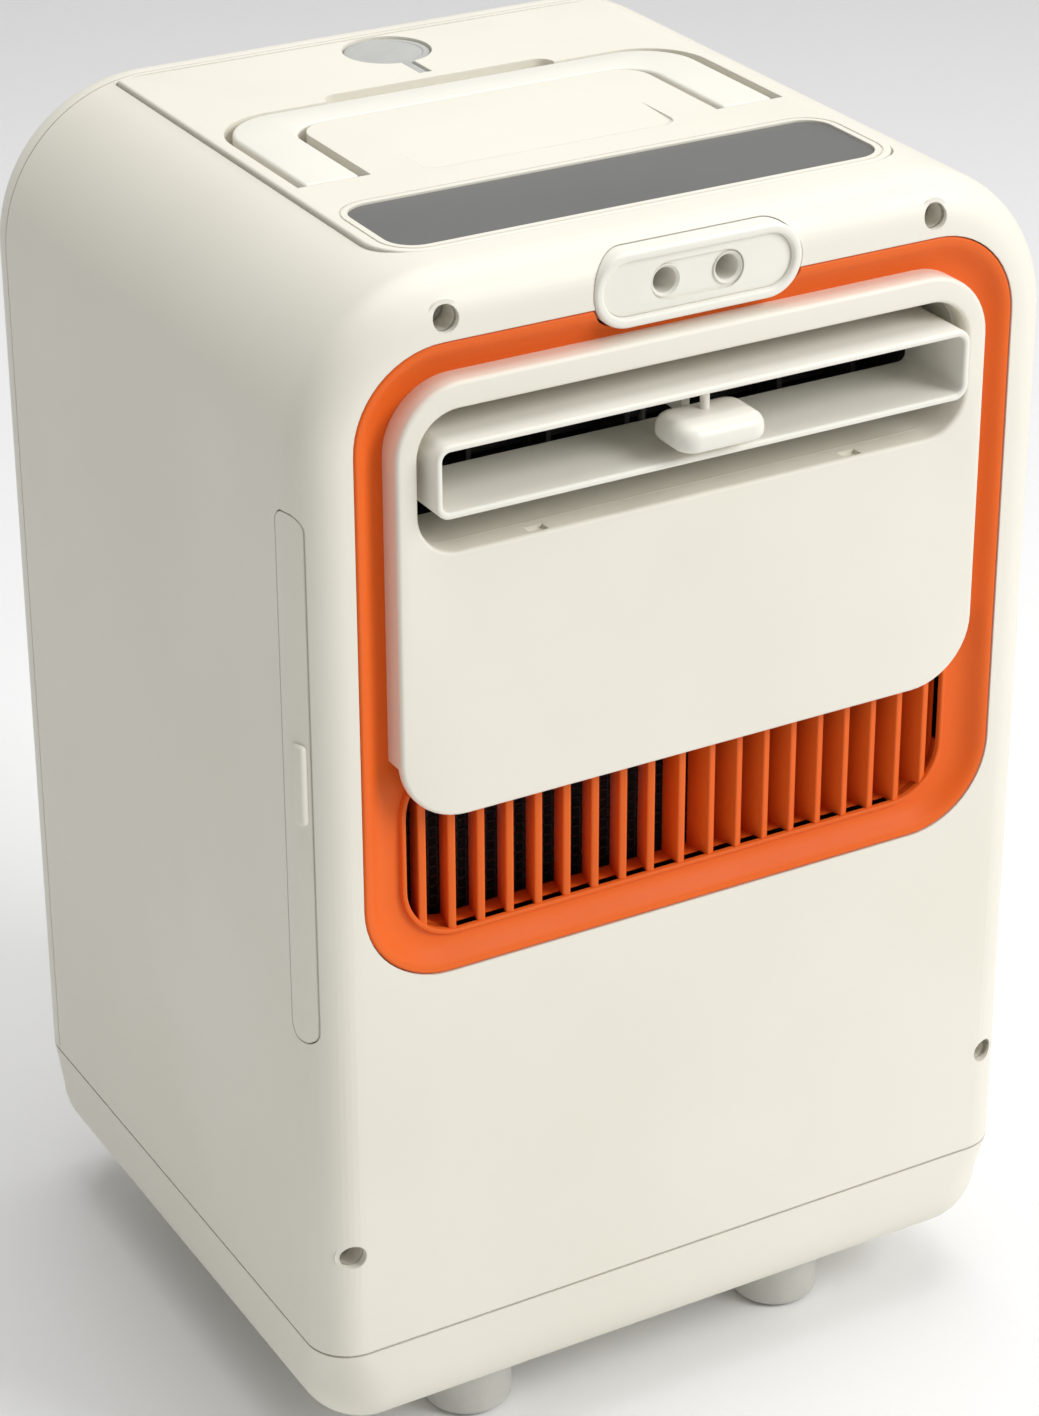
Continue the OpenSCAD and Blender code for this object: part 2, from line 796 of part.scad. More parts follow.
module outlet_frame() {
  color(ivory)
    difference() {
      union() {
        difference() {
          front_slab(frame_w, frame_h, 4.5, frame_z, frame_front, frame_front + frame_d);
          front_slab(frame_w - 2 * frame_t, frame_h - 2 * frame_t, 2.5, frame_z, frame_front - 1,
                     frame_front + frame_d + 1);
        }
        for (sx = [-1, 1])
          rod_x(sx < 0 ? -duct_w / 2 - duct_wall : frame_w / 2 - frame_t / 2,
                sx < 0 ? -frame_w / 2 + frame_t / 2 : duct_w / 2 + duct_wall,
                at_depth(frame_pivot_d), frame_z, pivot_r);
      }
      rod_z(0, at_depth(post_d), frame_z - frame_h, frame_z + frame_h, post_pin_r + run_gap);
    }
}

module thumb_tab() {
  color(ivory) {
    translate([-tab_w / 2, at_depth(post_d - tab_front + tab_depth / 2), frame_z - 1])
      rotate([90, 0, 90])
        linear_extrude(tab_w)
          rounded(tab_depth, tab_t, 3);
    rod_z(0, at_depth(post_d), frame_z - frame_h / 2 + 0.4, frame_z + frame_h / 2 - 0.4, post_pin_r);
    // tail and fork that drive the guide blades
    span([-1.4, at_depth(post_d), frame_z - 2.5], [1.4, at_depth(22), frame_z + 2.5]);
    span([-3.4, at_depth(22), frame_z - 2.5], [3.4, at_depth(25), frame_z + 2.5]);
    for (sx = [-1, 1])
      span([sx * 2.75 - 0.65, at_depth(25), frame_z - 2.5],
           [sx * 2.75 + 0.65, at_depth(tail_end), frame_z + 2.5]);
  }
}

module blade(i) {
  x = i * blade_pitch;
  low = mouth_z - duct_h / 2 + blade_gap;
  high = mouth_z + duct_h / 2 - blade_gap;
  color(charcoal) {
    difference() {
      span([x - blade_t / 2, at_depth(blade_d - blade_depth / 2), low],
           [x + blade_t / 2, at_depth(blade_d + blade_depth / 2), high]);
      span([x - 2, at_depth(blade_d + link_arm - 3.4), low - 1],
           [x + 2, at_depth(blade_d + blade_depth / 2 + 1), link_z + link_t + 0.6]);
    }
    rod_z(x, at_depth(blade_d), mouth_z - duct_h / 2 - duct_wall, mouth_z + duct_h / 2 + duct_wall,
          blade_pin_r);
    rod_z(x, at_depth(blade_d + link_arm), link_z - 0.4, link_z + link_t + 1.2, link_pin_r);
    if (i == 0) {
      rod_z(0, at_depth(rod_d), low + 2, high - 2, 1.2);
      for (z = [low + 2, high - 4])
        span([-0.8, at_depth(rod_d), z], [0.8, at_depth(blade_d - blade_depth / 2 + 1), z + 2]);
    }
  }
}

module blade_1() { blade(-3); }
module blade_2() { blade(-2); }
module blade_3() { blade(-1); }
module blade_4() { blade(0); }
module blade_5() { blade(1); }
module blade_6() { blade(2); }
module blade_7() { blade(3); }

module blade_link() {
  color(charcoal)
    difference() {
      span([-3 * blade_pitch - 3, at_depth(blade_d + link_arm - 2.6), link_z],
           [3 * blade_pitch + 3, at_depth(blade_d + link_arm + 2.4), link_z + link_t]);
      for (i = [-3 : 3])
        span([i * blade_pitch - link_pin_r - 0.3, at_depth(blade_d + link_arm - link_pin_r - 1),
              link_z - 1],
             [i * blade_pitch + link_pin_r + 0.3, at_depth(blade_d + link_arm + link_pin_r + 0.4),
              link_z + link_t + 1]);
    }
}

// ---- water ----

module water_tank() {
  y0 = at_depth(tank_front);
  color(clear_blue)
    difference() {
      span([-tank_w / 2, y0, tank_low], [tank_w / 2, tank_back_y, tank_top - tank_t]);
      span([-tank_w / 2 + tank_t, y0 + tank_t, tank_low + tank_t],
           [tank_w / 2 - tank_t, tank_back_y - tank_t, tank_top]);
      for (sx = [-1, 1])
        rod_y(sx * mist_x, wick_z, y0 - 1, y0 + tank_t + 1, wick_r);
      rod_x(-tank_w / 2 - 1, -tank_w / 2 + tank_t + 1, y0 + 10, tank_low + 12, hose_r);
    }
}

module tank_lid() {
  y0 = at_depth(tank_front);
  color(clear_blue)
    difference() {
      union() {
        span([-tank_w / 2, y0, tank_top - tank_t], [tank_w / 2, tank_back_y, tank_top]);
        rod_z(0, plug_y, tank_top - tank_t, top_seat, neck_r + neck_t);
      }
      rod_z(0, plug_y, tank_top - tank_t - 1, top_seat + 1, neck_r);
    }
}

module tank_shelf() {
  color(grey)
    span([-inner_x + 0.5, at_depth(tank_front - 2), tank_low - shelf_t],
         [inner_x - 0.5, rear_seam_y - 3, tank_low]);
}

module feed_hose() {
  x = -tank_w / 2 - 7;
  y0 = at_depth(plate_back + 12);
  y1 = at_depth(tank_front + 10);
  z0 = tank_low + 12;
  z1 = (filter_top - 3.6 + mouth_z - duct_h / 2 - duct_wall) / 2;
  color(grey) {
    rod_x(x, -tank_w / 2 + tank_t, y1, z0, hose_r);
    rod_y(x, z0, y0, y1, hose_r);
    for (y = [y0, y1])
      translate([x, y, z0])
        sphere(hose_r, $fn = round_fn);
    rod_z(x, y0, z0, z1, hose_r);
    translate([x, y0, z1])
      sphere(hose_r, $fn = round_fn);
    rod_x(x, -duct_w / 2 - 1, y0, z1, hose_r);
  }
}

module drip_bar() {
  low = filter_top - 3.6;
  high = mouth_z - duct_h / 2 - duct_wall;
  color(grey)
    difference() {
      span([-duct_w / 2 - 1, at_depth(plate_back), low], [duct_w / 2, at_depth(44), high]);
      span([-duct_w / 2 + 1, at_depth(plate_back + 2), low + 1.6],
           [duct_w / 2 - 2, at_depth(42), high - 1.6]);
      for (i = [-8 : 8])
        rod_z(i * 10, at_depth(33), low - 1, low + 3, 1);
    }
}

module cooling_pad() {
  low = filter_low - 3;
  high = filter_top - 3.6;
  cells = 15;
  step = (duct_w - 8) / cells;
  color([0.12, 0.12, 0.12])
    difference() {
      span([-duct_w / 2 + 1, at_depth(plate_back + 2.6), low], [duct_w / 2 - 1, at_depth(43), high]);
      for (i = [0 : cells - 1])
        translate([-duct_w / 2 + 4 + (i + 0.5) * step, 0, 0])
          span([-step * 0.36, at_depth(plate_back), low + 6], [step * 0.36, at_depth(45), high - 6]);
    }
}

module drip_tray() {
  low = filter_low - 5;
  color(charcoal)
    difference() {
      span([-duct_w / 2 - 3, at_depth(plate_back), low], [duct_w / 2 + 3, at_depth(48), low + 14]);
      span([-duct_w / 2 - 1, at_depth(plate_back + 2), low + 2],
           [duct_w / 2 + 1, at_depth(46), low + 15]);
    }
}

// ---- slide-in filter ----

// The curved end of the filter that closes the case's side flush
module filter_strip() {
  intersection() {
    translate([0, 0, strip_low])
      linear_extrude(strip_top - strip_low)
        difference() {
          rounded(body_w, body_d, edge_r);
          rounded(body_w - 2 * wall, body_d - 2 * wall, edge_r - wall);
        }
    translate([-half_w - 1, at_depth((strip_front + strip_back) / 2), (strip_top + strip_low) / 2])
      rotate([90, 0, 90])
        linear_extrude(edge_r)
          rounded(strip_back - strip_front - 2 * slide_gap, strip_top - strip_low - 2 * slide_gap,
                  strip_r);
  }
}

module filter_frame() {
  rim = 6;
  color(ivory) {
    filter_strip();
    difference() {
      union() {
        span([filter_left, at_depth(filter_front), filter_low],
             [filter_right, at_depth(filter_back), filter_top]);
        span([-half_w + wall / 2, at_depth(filter_front), filter_low + 8],
             [filter_left + 1, at_depth(filter_back), filter_top - 8]);
      }
      span([filter_left + rim, at_depth(filter_front - 1), filter_low + rim],
           [filter_right - rim, at_depth(filter_back + 1), filter_top - rim]);
    }
    // raised finger tab on the strip
    translate([-half_w + edge_r, at_depth(edge_r), 0])
      rotate([0, 0, 24])
        span([-edge_r - 1.6, -2.4, strip_low + 73.5], [-edge_r + 1, 2.4, strip_low + 99]);
  }
}

module filter_mesh() {
  rim = 6;
  bars = 40;
  w = filter_right - filter_left - 2 * rim;
  step = w / bars;
  mid = (filter_front + filter_back) / 2;
  color([0.06, 0.06, 0.06])
    difference() {
      span([filter_left + rim, at_depth(mid - 0.6), filter_low + rim],
           [filter_right - rim, at_depth(mid + 0.6), filter_top - rim]);
      for (i = [0 : bars - 1])
        translate([filter_left + rim + (i + 0.5) * step, 0, 0])
          span([-step * 0.3, at_depth(mid - 2), filter_low + rim + 2],
               [step * 0.3, at_depth(mid + 2), filter_top - rim - 2]);
    }
}

// ---- fan ----

module scroll_wall() {
  top = mouth_z + duct_h / 2;
  color(charcoal)
    side_sheet(-plate_x, plate_x) {
      difference() {
        translate([at_depth(fan_d), fan_z])
          circle(scroll_r + scroll_t, $fn = round_fn);
        translate([at_depth(fan_d), fan_z])
          circle(scroll_r, $fn = round_fn);
        translate([at_depth(fan_d) - 200, fan_z - 100])
          square([200, 400]);
        translate([at_depth(fan_d), fan_z])
          square([200, 100]);
      }
      translate([at_depth(scroll_back_d - scroll_t), fan_z])
        square([scroll_t, top + scroll_t - fan_z]);
      translate([at_depth(duct_back), top])
        square([scroll_back_d - duct_back, scroll_t]);
    }
}

module fan_tongue() {
  low = mouth_z - duct_h / 2;
  tip = fan_z + sqrt(pow(rotor_r + 6, 2) - pow(fan_d - duct_back - 3, 2));
  color(charcoal)
    side_sheet(-plate_x, plate_x) {
      translate([at_depth(duct_back - 10), low - duct_wall - 2])
        square([14, 2]);
      translate([at_depth(duct_back + 2), tip])
        square([2, low - duct_wall - 1 - tip]);
      translate([at_depth(duct_back + 3), tip])
        circle(2.2, $fn = round_fn);
    }
}

module end_plate(x) {
  color(charcoal)
    difference() {
      side_sheet(x, x + end_t) {
        translate([at_depth(48), filter_low + 12])
          square([scroll_back_d - 48, mouth_z - duct_h / 2 - duct_wall - filter_low - 12]);
        translate([at_depth(duct_back), fan_z])
          square([scroll_back_d - duct_back, mouth_z + duct_h / 2 + scroll_t - fan_z]);
      }
      rod_x(x - 1, x + end_t + 1, at_depth(fan_d), fan_z, 6);
      if (x > 0)
        motor_holes(x - 1, x + end_t + 1);
    }
}

module motor_holes(x0, x1) {
  for (a = [45 : 90 : 315])
    rod_x(x0, x1, at_depth(fan_d + motor_bolt * cos(a)), fan_z + motor_bolt * sin(a), motor_screw_r);
}

module end_plate_left() { end_plate(-plate_x - end_t); }
module end_plate_right() { end_plate(plate_x); }

module fan_rotor() {
  half = rotor_len / 2;
  disc_t = 2;
  blade_w = 11;
  color([0.25, 0.27, 0.3])
    difference() {
      union() {
        for (x = [-half, -half / 3 - disc_t / 2, half / 3 - disc_t / 2, half - disc_t])
          rod_x(x, x + disc_t, at_depth(fan_d), fan_z, rotor_r);
        for (s = [-1, 1])
          rod_x(s < 0 ? -half : half - 12, s < 0 ? -half + 12 : half, at_depth(fan_d), fan_z, 8);
        translate([0, at_depth(fan_d), fan_z])
          side_sheet(-half + disc_t / 2, half - disc_t / 2)
            for (i = [0 : rotor_blades - 1])
              rotate(i * 360 / rotor_blades)
                translate([rotor_r - 1, 0])
                  rotate(118)
                    translate([0, -0.6])
                      square([blade_w, 1.2]);
      }
      rod_x(-half - 1, half + 1, at_depth(fan_d), fan_z, shaft_r);
      // open middle of the inner discs
      for (x = [-half / 3, half / 3])
        rod_x(x - 3, x + 3, at_depth(fan_d), fan_z, rotor_r - 14);
    }
}

module fan_shaft() {
  color(steel)
    rod_x(-plate_x - end_t - 4, plate_x + end_t + 18, at_depth(fan_d), fan_z, shaft_r);
}

module fan_bush() {
  color([0.72, 0.55, 0.3])
    difference() {
      union() {
        rod_x(-plate_x - end_t, -plate_x, at_depth(fan_d), fan_z, 6);
        rod_x(-plate_x - end_t - 5, -plate_x - end_t, at_depth(fan_d), fan_z, 8);
      }
      rod_x(-plate_x - end_t - 6, -plate_x + 1, at_depth(fan_d), fan_z, shaft_r + run_gap);
    }
}

module fan_motor() {
  x0 = plate_x + end_t;
  color(steel)
    difference() {
      union() {
        rod_x(x0, x0 + 22, at_depth(fan_d), fan_z, motor_r);
        rod_x(x0 - end_t, x0, at_depth(fan_d), fan_z, 6);
      }
      rod_x(x0 - end_t - 1, x0 + 19, at_depth(fan_d), fan_z, shaft_r + run_gap);
      motor_holes(x0 - 1, x0 + 6);
    }
}

module motor_screws() {
  color(steel) {
    motor_holes(plate_x, plate_x + end_t + 6);
    for (a = [45 : 90 : 315])
      rod_x(plate_x - 1.2, plate_x, at_depth(fan_d + motor_bolt * cos(a)),
            fan_z + motor_bolt * sin(a), motor_screw_r + 1.1);
  }
}

// ---- top ----

// The U outline of the handle grown by g sideways and e at both ends
module handle_outline(g, e) {
  outer = handle_x + g;
  inner = handle_x - arm_w - g;
  back = handle_back + e;
  front = handle_front - e;
  bar_front = handle_back - bar_w - e;
  difference() {
    union() {
      translate([0, at_depth((front + back) / 2)])
        rounded(2 * outer, back - front, 19);
      for (sx = [-1, 1])
        translate([sx * (outer + inner) / 2, at_depth(front + 15)])
          square([outer - inner, 30], center = true);
    }
    translate([0, at_depth((bar_front + front) / 2 - 30)])
      rounded(2 * inner, bar_front - front + 60, 12);
  }
}

module top_panel() {
  color(ivory)
    difference() {
      union() {
        translate([0, top_mid_y, top_seat])
          linear_extrude(top_t)
            top_outline(0);
        // well below the handle
        translate([0, 0, well_floor - well_t])
          linear_extrude(top_seat - well_floor + well_t)
            handle_outline(arm_gap + 1.4, 1.6);
        // deeper finger recess behind the bar
        translate([0, at_depth(handle_back + 1.5), well_floor - well_t])
          linear_extrude(top_seat - well_floor + well_t)
            rounded(82, 13, 6);
        for (sx = [-1, 1], d = [display_front + 6, display_front + display_d - 6])
          rod_z(sx * (display_w / 2 - 12), at_depth(d), board_z, top_seat, 3);
      }
      translate([0, 0, well_floor])
        linear_extrude(20)
          handle_outline(arm_gap, 1);
      translate([0, at_depth(handle_back + 1.5), well_floor])
        linear_extrude(20)
          rounded(79, 10, 4.9);
      // seat of the control strip
      translate([0, at_depth(display_front + display_d / 2), body_h - lens_drop - lens_t])
        linear_extrude(10)
          rounded(display_w + 2 * fit_gap, display_d + 2 * fit_gap, 9);
      translate([0, at_depth(display_front + display_d / 2), top_seat - 1])
        linear_extrude(10)
          rounded(display_w - 30, display_d - 16, 3);
      // handle pins
      for (sx = [-1, 1])
        rod_x(sx < 0 ? -handle_x - arm_gap - 3 : handle_x - arm_w - arm_gap - 3,
              sx < 0 ? -handle_x + arm_w + arm_gap + 3 : handle_x + arm_gap + 3,
              at_depth(handle_pivot_d), handle_pivot_z, pin_r);
      // filler hole and strap groove
      rod_z(0, plug_y, top_seat - 1, body_h + 1, neck_r + 0.4);
      rod_z(0, plug_y, body_h - 2.4, body_h + 1, plug_r + 0.6);
      span([-strap_w / 2 - 0.5, plug_hinge_y - 2, body_h - 2.4],
           [strap_w / 2 + 0.5, plug_y, body_h + 1]);
    }
}

module display_lens() {
  color([0.3, 0.3, 0.31])
    translate([0, at_depth(display_front + display_d / 2), body_h - lens_drop - lens_t])
      linear_extrude(lens_t)
        rounded(display_w, display_d, 8.8);
}

module display_board() {
  color(green)
    difference() {
      span([-display_w / 2 + 6, at_depth(display_front + 1), board_z - 1.6],
           [display_w / 2 - 6, at_depth(display_front + display_d - 1), board_z]);
      for (sx = [-1, 1], d = [display_front + 6, display_front + display_d - 6])
        rod_z(sx * (display_w / 2 - 12), at_depth(d), board_z - 3, board_z + 1, 1.1);
    }
}

module board_screws() {
  color(steel)
    for (sx = [-1, 1], d = [display_front + 6, display_front + display_d - 6]) {
      rod_z(sx * (display_w / 2 - 12), at_depth(d), board_z - 3, board_z - 1.6, 2);
      rod_z(sx * (display_w / 2 - 12), at_depth(d), board_z - 1.6, board_z, 1.1);
    }
}

module handle() {
  color(ivory)
    difference() {
      union() {
        difference() {
          translate([0, 0, body_h - handle_t])
            linear_extrude(handle_t)
              handle_outline(0, 0);
          span([-handle_x - 1, at_depth(handle_front - 1), body_h - handle_t - 1],
               [handle_x + 1, at_depth(handle_pivot_d), body_h + 1]);
        }
        for (sx = [-1, 1])
          rod_x(sx < 0 ? -handle_x : handle_x - arm_w, sx < 0 ? -handle_x + arm_w : handle_x,
                at_depth(handle_pivot_d), handle_pivot_z, handle_t / 2);
      }
      for (sx = [-1, 1])
        rod_x(sx < 0 ? -handle_x - 1 : handle_x - arm_w - 1,
              sx < 0 ? -handle_x + arm_w + 1 : handle_x + 1,
              at_depth(handle_pivot_d), handle_pivot_z, pin_r + run_gap);
    }
}

module handle_pins() {
  color(steel)
    for (sx = [-1, 1])
      rod_x(sx < 0 ? -handle_x - arm_gap - 1.4 : handle_x - arm_w - arm_gap - 1.4,
            sx < 0 ? -handle_x + arm_w + arm_gap + 1.4 : handle_x + arm_gap + 1.4,
            at_depth(handle_pivot_d), handle_pivot_z, pin_r);
}

module filler_plug() {
  top = body_h - 0.6;
  color(grey) {
    rod_z(0, plug_y, top - 1.8, top, plug_r);
    rod_z(0, plug_y, top - 4.6, top - 1.8, neck_r - 0.6);
    span([-strap_w / 2, plug_hinge_y, top - 1.8], [strap_w / 2, plug_y - plug_r + 2, top]);
    rod_x(-strap_w / 2, strap_w / 2, plug_hinge_y, top - 0.9, 0.9);
  }
}

placed() base_tray();
placed() foot_front_left();
placed() foot_front_right();
placed() foot_rear_left();
placed() foot_rear_right();
placed() base_screws();
placed() main_shell();
placed() front_screws();
placed() rear_cover();
placed() rear_screws();
placed() rear_screen();
placed() power_inlet();
placed() power_board();
placed() chassis();
placed() intake_grille();
placed() front_panel();
placed() outlet_duct();
placed() outlet_frame();
placed() thumb_tab();
placed() blade_1();
placed() blade_2();
placed() blade_3();
placed() blade_4();
placed() blade_5();
placed() blade_6();
placed() blade_7();
placed() blade_link();
placed() nozzle_rim();
placed() nozzle_plate();
placed() mist_tubes();
placed() mist_disc_left();
placed() mist_disc_right();
placed() wick_left();
placed() wick_right();
placed() water_tank();
placed() tank_lid();
placed() tank_shelf();
placed() feed_hose();
placed() drip_bar();
placed() cooling_pad();
placed() drip_tray();
placed() filter_frame();
placed() filter_mesh();
placed() scroll_wall();
placed() fan_tongue();
placed() end_plate_left();
placed() end_plate_right();
placed() fan_rotor();
placed() fan_shaft();
placed() fan_bush();
placed() fan_motor();
placed() motor_screws();
placed() top_panel();
placed() display_lens();
placed() display_board();
placed() board_screws();
placed() handle();
placed() handle_pins();
placed() filler_plug();
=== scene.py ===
# %% [markdown]
# # A tabletop air conditioner, dressed over its frame
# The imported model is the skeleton: it says where every part sits and how it moves.
# This lesson builds the skins that show, gives each finish its own shader, and
# lights the result on a pale floor.

# %% Load the frame
import json
import math
import bmesh
import bpy
from mathutils import Matrix, Vector


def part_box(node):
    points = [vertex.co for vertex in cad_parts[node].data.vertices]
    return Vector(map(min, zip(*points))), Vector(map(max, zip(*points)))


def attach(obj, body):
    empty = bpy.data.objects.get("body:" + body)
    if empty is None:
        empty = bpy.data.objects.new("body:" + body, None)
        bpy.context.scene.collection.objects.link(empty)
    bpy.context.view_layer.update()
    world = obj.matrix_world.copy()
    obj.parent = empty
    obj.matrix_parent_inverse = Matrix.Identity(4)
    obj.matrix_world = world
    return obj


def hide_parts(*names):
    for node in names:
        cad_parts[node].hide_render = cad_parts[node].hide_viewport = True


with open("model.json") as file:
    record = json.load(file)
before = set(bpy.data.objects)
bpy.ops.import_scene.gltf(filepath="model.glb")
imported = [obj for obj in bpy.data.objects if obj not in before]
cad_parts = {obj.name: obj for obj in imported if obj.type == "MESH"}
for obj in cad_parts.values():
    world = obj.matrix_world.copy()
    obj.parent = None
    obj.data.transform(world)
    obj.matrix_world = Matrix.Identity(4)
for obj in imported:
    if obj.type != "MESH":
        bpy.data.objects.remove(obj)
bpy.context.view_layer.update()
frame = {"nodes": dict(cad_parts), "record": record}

# %% [markdown]
# ## Where things are
# A designer works from a few datum planes. Here they are the case's front plane, its
# top, and the joint above the base tray, all read from the frame so that a skin can
# never drift away from the part it covers. Sizes below are in millimetres.

# %% Datums
MM = 0.001
shell_low, shell_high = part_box("main_shell")
cover_low, cover_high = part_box("rear_cover")
tray_low, tray_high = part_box("base_tray")
FRONT = shell_low[1] / MM
HALF_W = shell_high[0] / MM
TOP = shell_high[2] / MM
SEAM = tray_high[2] / MM
REAR_SEAM = cover_low[1] / MM
REAR = cover_high[1] / MM
UNDERSIDE = tray_low[2] / MM
WALL, TOP_R, EDGE_R, BASE_R = 2.5, 50.0, 14.0, 22.0


def depth(d):
    """Y of a point d behind the case's front plane."""
    return FRONT + d


print("front", round(FRONT, 2), "half width", round(HALF_W, 2), "top", round(TOP, 2), "seam", round(SEAM, 2))

# %% [markdown]
# ## The camera
# A long lens from above and from the left keeps the upright edges nearly parallel.
# The camera is placed first, because every later choice is judged through it.

# %% Camera
def add_camera(azimuth, elevation, roll, distance, target, lens, shift):
    a, e, r = (math.radians(v) for v in (azimuth, elevation, roll))
    back = Vector((math.sin(a) * math.cos(e), -math.cos(a) * math.cos(e), math.sin(e)))
    right = Vector((math.cos(a), math.sin(a), 0))
    up = back.cross(right)
    turned_right = right * math.cos(r) + up * math.sin(r)
    turned_up = up * math.cos(r) - right * math.sin(r)
    data = bpy.data.cameras.new("view")
    data.sensor_width = 36
    data.lens = lens
    data.shift_x, data.shift_y = shift
    data.clip_start, data.clip_end = 0.05, 20
    cam = bpy.data.objects.new("view", data)
    basis = Matrix((turned_right, turned_up, back)).transposed().to_4x4()
    cam.matrix_world = Matrix.Translation((Vector(target) + back * distance) * MM) @ basis
    bpy.context.scene.collection.objects.link(cam)
    bpy.context.scene.camera = cam
    return cam


camera = add_camera(-29.28, 26.29, -0.27, 1291.26, (41.86, 80.13, 185.4), 95.454915,
                    (0.004731638, -0.053177966))
print("lens", round(camera.data.lens, 2), "mm")

# %% [markdown]
# ## Shader maths as plain expressions
# A finish is a small sum: a base, plus grain, plus a little dirt. Wiring that by hand
# hides the idea, so one class wraps a socket and lets Python's operators add the Math
# nodes.

# %% A socket that can be added and multiplied
class Signal:
    def __init__(self, tree, socket):
        self.tree, self.socket = tree, socket

    def _math(self, operation, a, b=None, c=None):
        return Finish.node_in(self.tree, "ShaderNodeMath", {"operation": operation},
                              {i: v for i, v in enumerate((a, b, c)) if v is not None})

    def __add__(self, other):
        return self._math("ADD", self, other)

    def __radd__(self, other):
        return self._math("ADD", other, self)

    def __sub__(self, other):
        return self._math("SUBTRACT", self, other)

    def __rsub__(self, other):
        return self._math("SUBTRACT", other, self)

    def __mul__(self, other):
        return self._math("MULTIPLY", self, other)

    def __rmul__(self, other):
        return self._math("MULTIPLY", other, self)

    def clipped(self):
        clamp = Finish.node_in(self.tree, "ShaderNodeClamp", {}, {"Value": self})
        return clamp

    def ramp(self, low, high):
        """0 below low, 1 above high, smooth between."""
        return Finish.node_in(self.tree, "ShaderNodeMapRange", {"interpolation_type": "SMOOTHSTEP"},
                              {"Value": self, "From Min": low, "From Max": high})


# %% A finish and its nodes
class Finish:
    """One material, with its Principled shader ready to be fed."""

    def __init__(self, name, **constants):
        self.material = bpy.data.materials.new(name)
        self.material.use_nodes = True
        self.tree = self.material.node_tree
        self.shader = next(n for n in self.tree.nodes if n.type == "BSDF_PRINCIPLED")
        for key, value in constants.items():
            self.shader.inputs[key.replace("_", " ").title().replace("Ior", "IOR")].default_value = value

    @staticmethod
    def node_in(tree, kind, settings, inputs, output=0):
        node = tree.nodes.new(kind)
        for key, value in settings.items():
            setattr(node, key, value)
        for key, value in inputs.items():
            if isinstance(value, Signal):
                tree.links.new(value.socket, node.inputs[key])
            else:
                node.inputs[key].default_value = value
        return Signal(tree, node.outputs[output])

    def node(self, kind, settings=None, inputs=None, output=0):
        return self.node_in(self.tree, kind, settings or {}, inputs or {}, output)

    def position(self, scale=(1, 1, 1)):
        place = self.node("ShaderNodeTexCoord", output="Object")
        return self.node("ShaderNodeMapping", {}, {"Vector": place, "Scale": scale})

    def noise(self, per_metre, detail=2.0, roughness=0.5, stretch=(1, 1, 1)):
        return self.node("ShaderNodeTexNoise", {}, {
            "Vector": self.position(stretch), "Scale": per_metre, "Detail": detail,
            "Roughness": roughness}, "Fac")

    def colours(self, factor, first, second):
        mix = self.tree.nodes.new("ShaderNodeMix")
        mix.data_type = "RGBA"
        sockets = [s for s in mix.inputs if s.type == "RGBA"]
        self.tree.links.new(factor.socket, mix.inputs[0])
        for socket, value in zip(sockets, (first, second)):
            if isinstance(value, Signal):
                self.tree.links.new(value.socket, socket)
            else:
                socket.default_value = (*value, 1)
        return Signal(self.tree, next(s for s in mix.outputs if s.type == "RGBA"))

    def feed(self, socket, value):
        self.tree.links.new(value.socket, self.shader.inputs[socket])

    def bump(self, height, distance, strength=1.0, rounded=0.0):
        """Height in 0..1 raised by distance in metres; rounded softens every sharp edge."""
        inputs = {"Height": height, "Distance": distance, "Strength": strength}
        if rounded:
            inputs["Normal"] = self.node("ShaderNodeBevel", {"samples": 4}, {"Radius": rounded})
        self.feed("Normal", self.node("ShaderNodeBump", {}, inputs))


print("shader helpers ready")

# %% [markdown]
# ## The moulded case plastic
# ABS from a textured mould isn't flat: it has a spark-eroded grain of about a third of
# a millimetre, a slow drift in tone, and edges that have been rubbed a little smoother.
# The same recipe with other numbers gives the coloured surround and the dark inner
# parts.

# %% Plastics
def linear(r, g, b):
    """An sRGB colour in 0..255 as the linear values that a shader wants."""
    return tuple(((v / 255 + 0.055) / 1.055) ** 2.4 if v > 10 else v / 255 / 12.92 for v in (r, g, b))


def moulded_plastic(name, colour, drift, roughness, grain_mm=0.35, grain_depth=0.00002, rounded=0.0005,
                    specular=0.4):
    finish = Finish(name, specular_ior_level=specular)
    tone = finish.noise(9, 3).ramp(0.3, 0.7)
    finish.feed("Base Color", finish.colours(tone, drift, colour))
    handled = finish.noise(28, 4, 0.6).ramp(0.35, 0.75)
    grain = finish.noise(1000 / grain_mm, 1.5)
    finish.feed("Roughness", (roughness - 0.04 + handled * 0.07 + grain * 0.03).clipped())
    finish.bump(grain, grain_depth, 0.5, rounded)
    return finish.material


ivory = moulded_plastic("ivory_case_plastic", linear(236, 232, 219), linear(232, 228, 214), 0.42)
ivory_smooth = moulded_plastic("ivory_smooth_plastic", linear(238, 235, 225), linear(234, 231, 220), 0.34,
                               grain_depth=0.00001, rounded=0.0004)
orange = moulded_plastic("orange_surround_plastic", linear(236, 106, 34), linear(231, 100, 29), 0.5,
                         grain_depth=0.000012, specular=0.22)
charcoal = moulded_plastic("charcoal_duct_plastic", linear(44, 43, 42), linear(38, 37, 36), 0.5)
inner_grey = moulded_plastic("grey_chassis_plastic", linear(150, 150, 147), linear(142, 142, 139), 0.5)
print("plastics", [m.name for m in (ivory, ivory_smooth, orange, charcoal, inner_grey)])

# %% [markdown]
# ## Rubber, glass-like plastics, metal, felt and board
# Each gets the one feature that makes it readable: a soft matt bloom on the rubber,
# brush lines on the metal, dots of dust under the smoked strip, fibres on the felt.

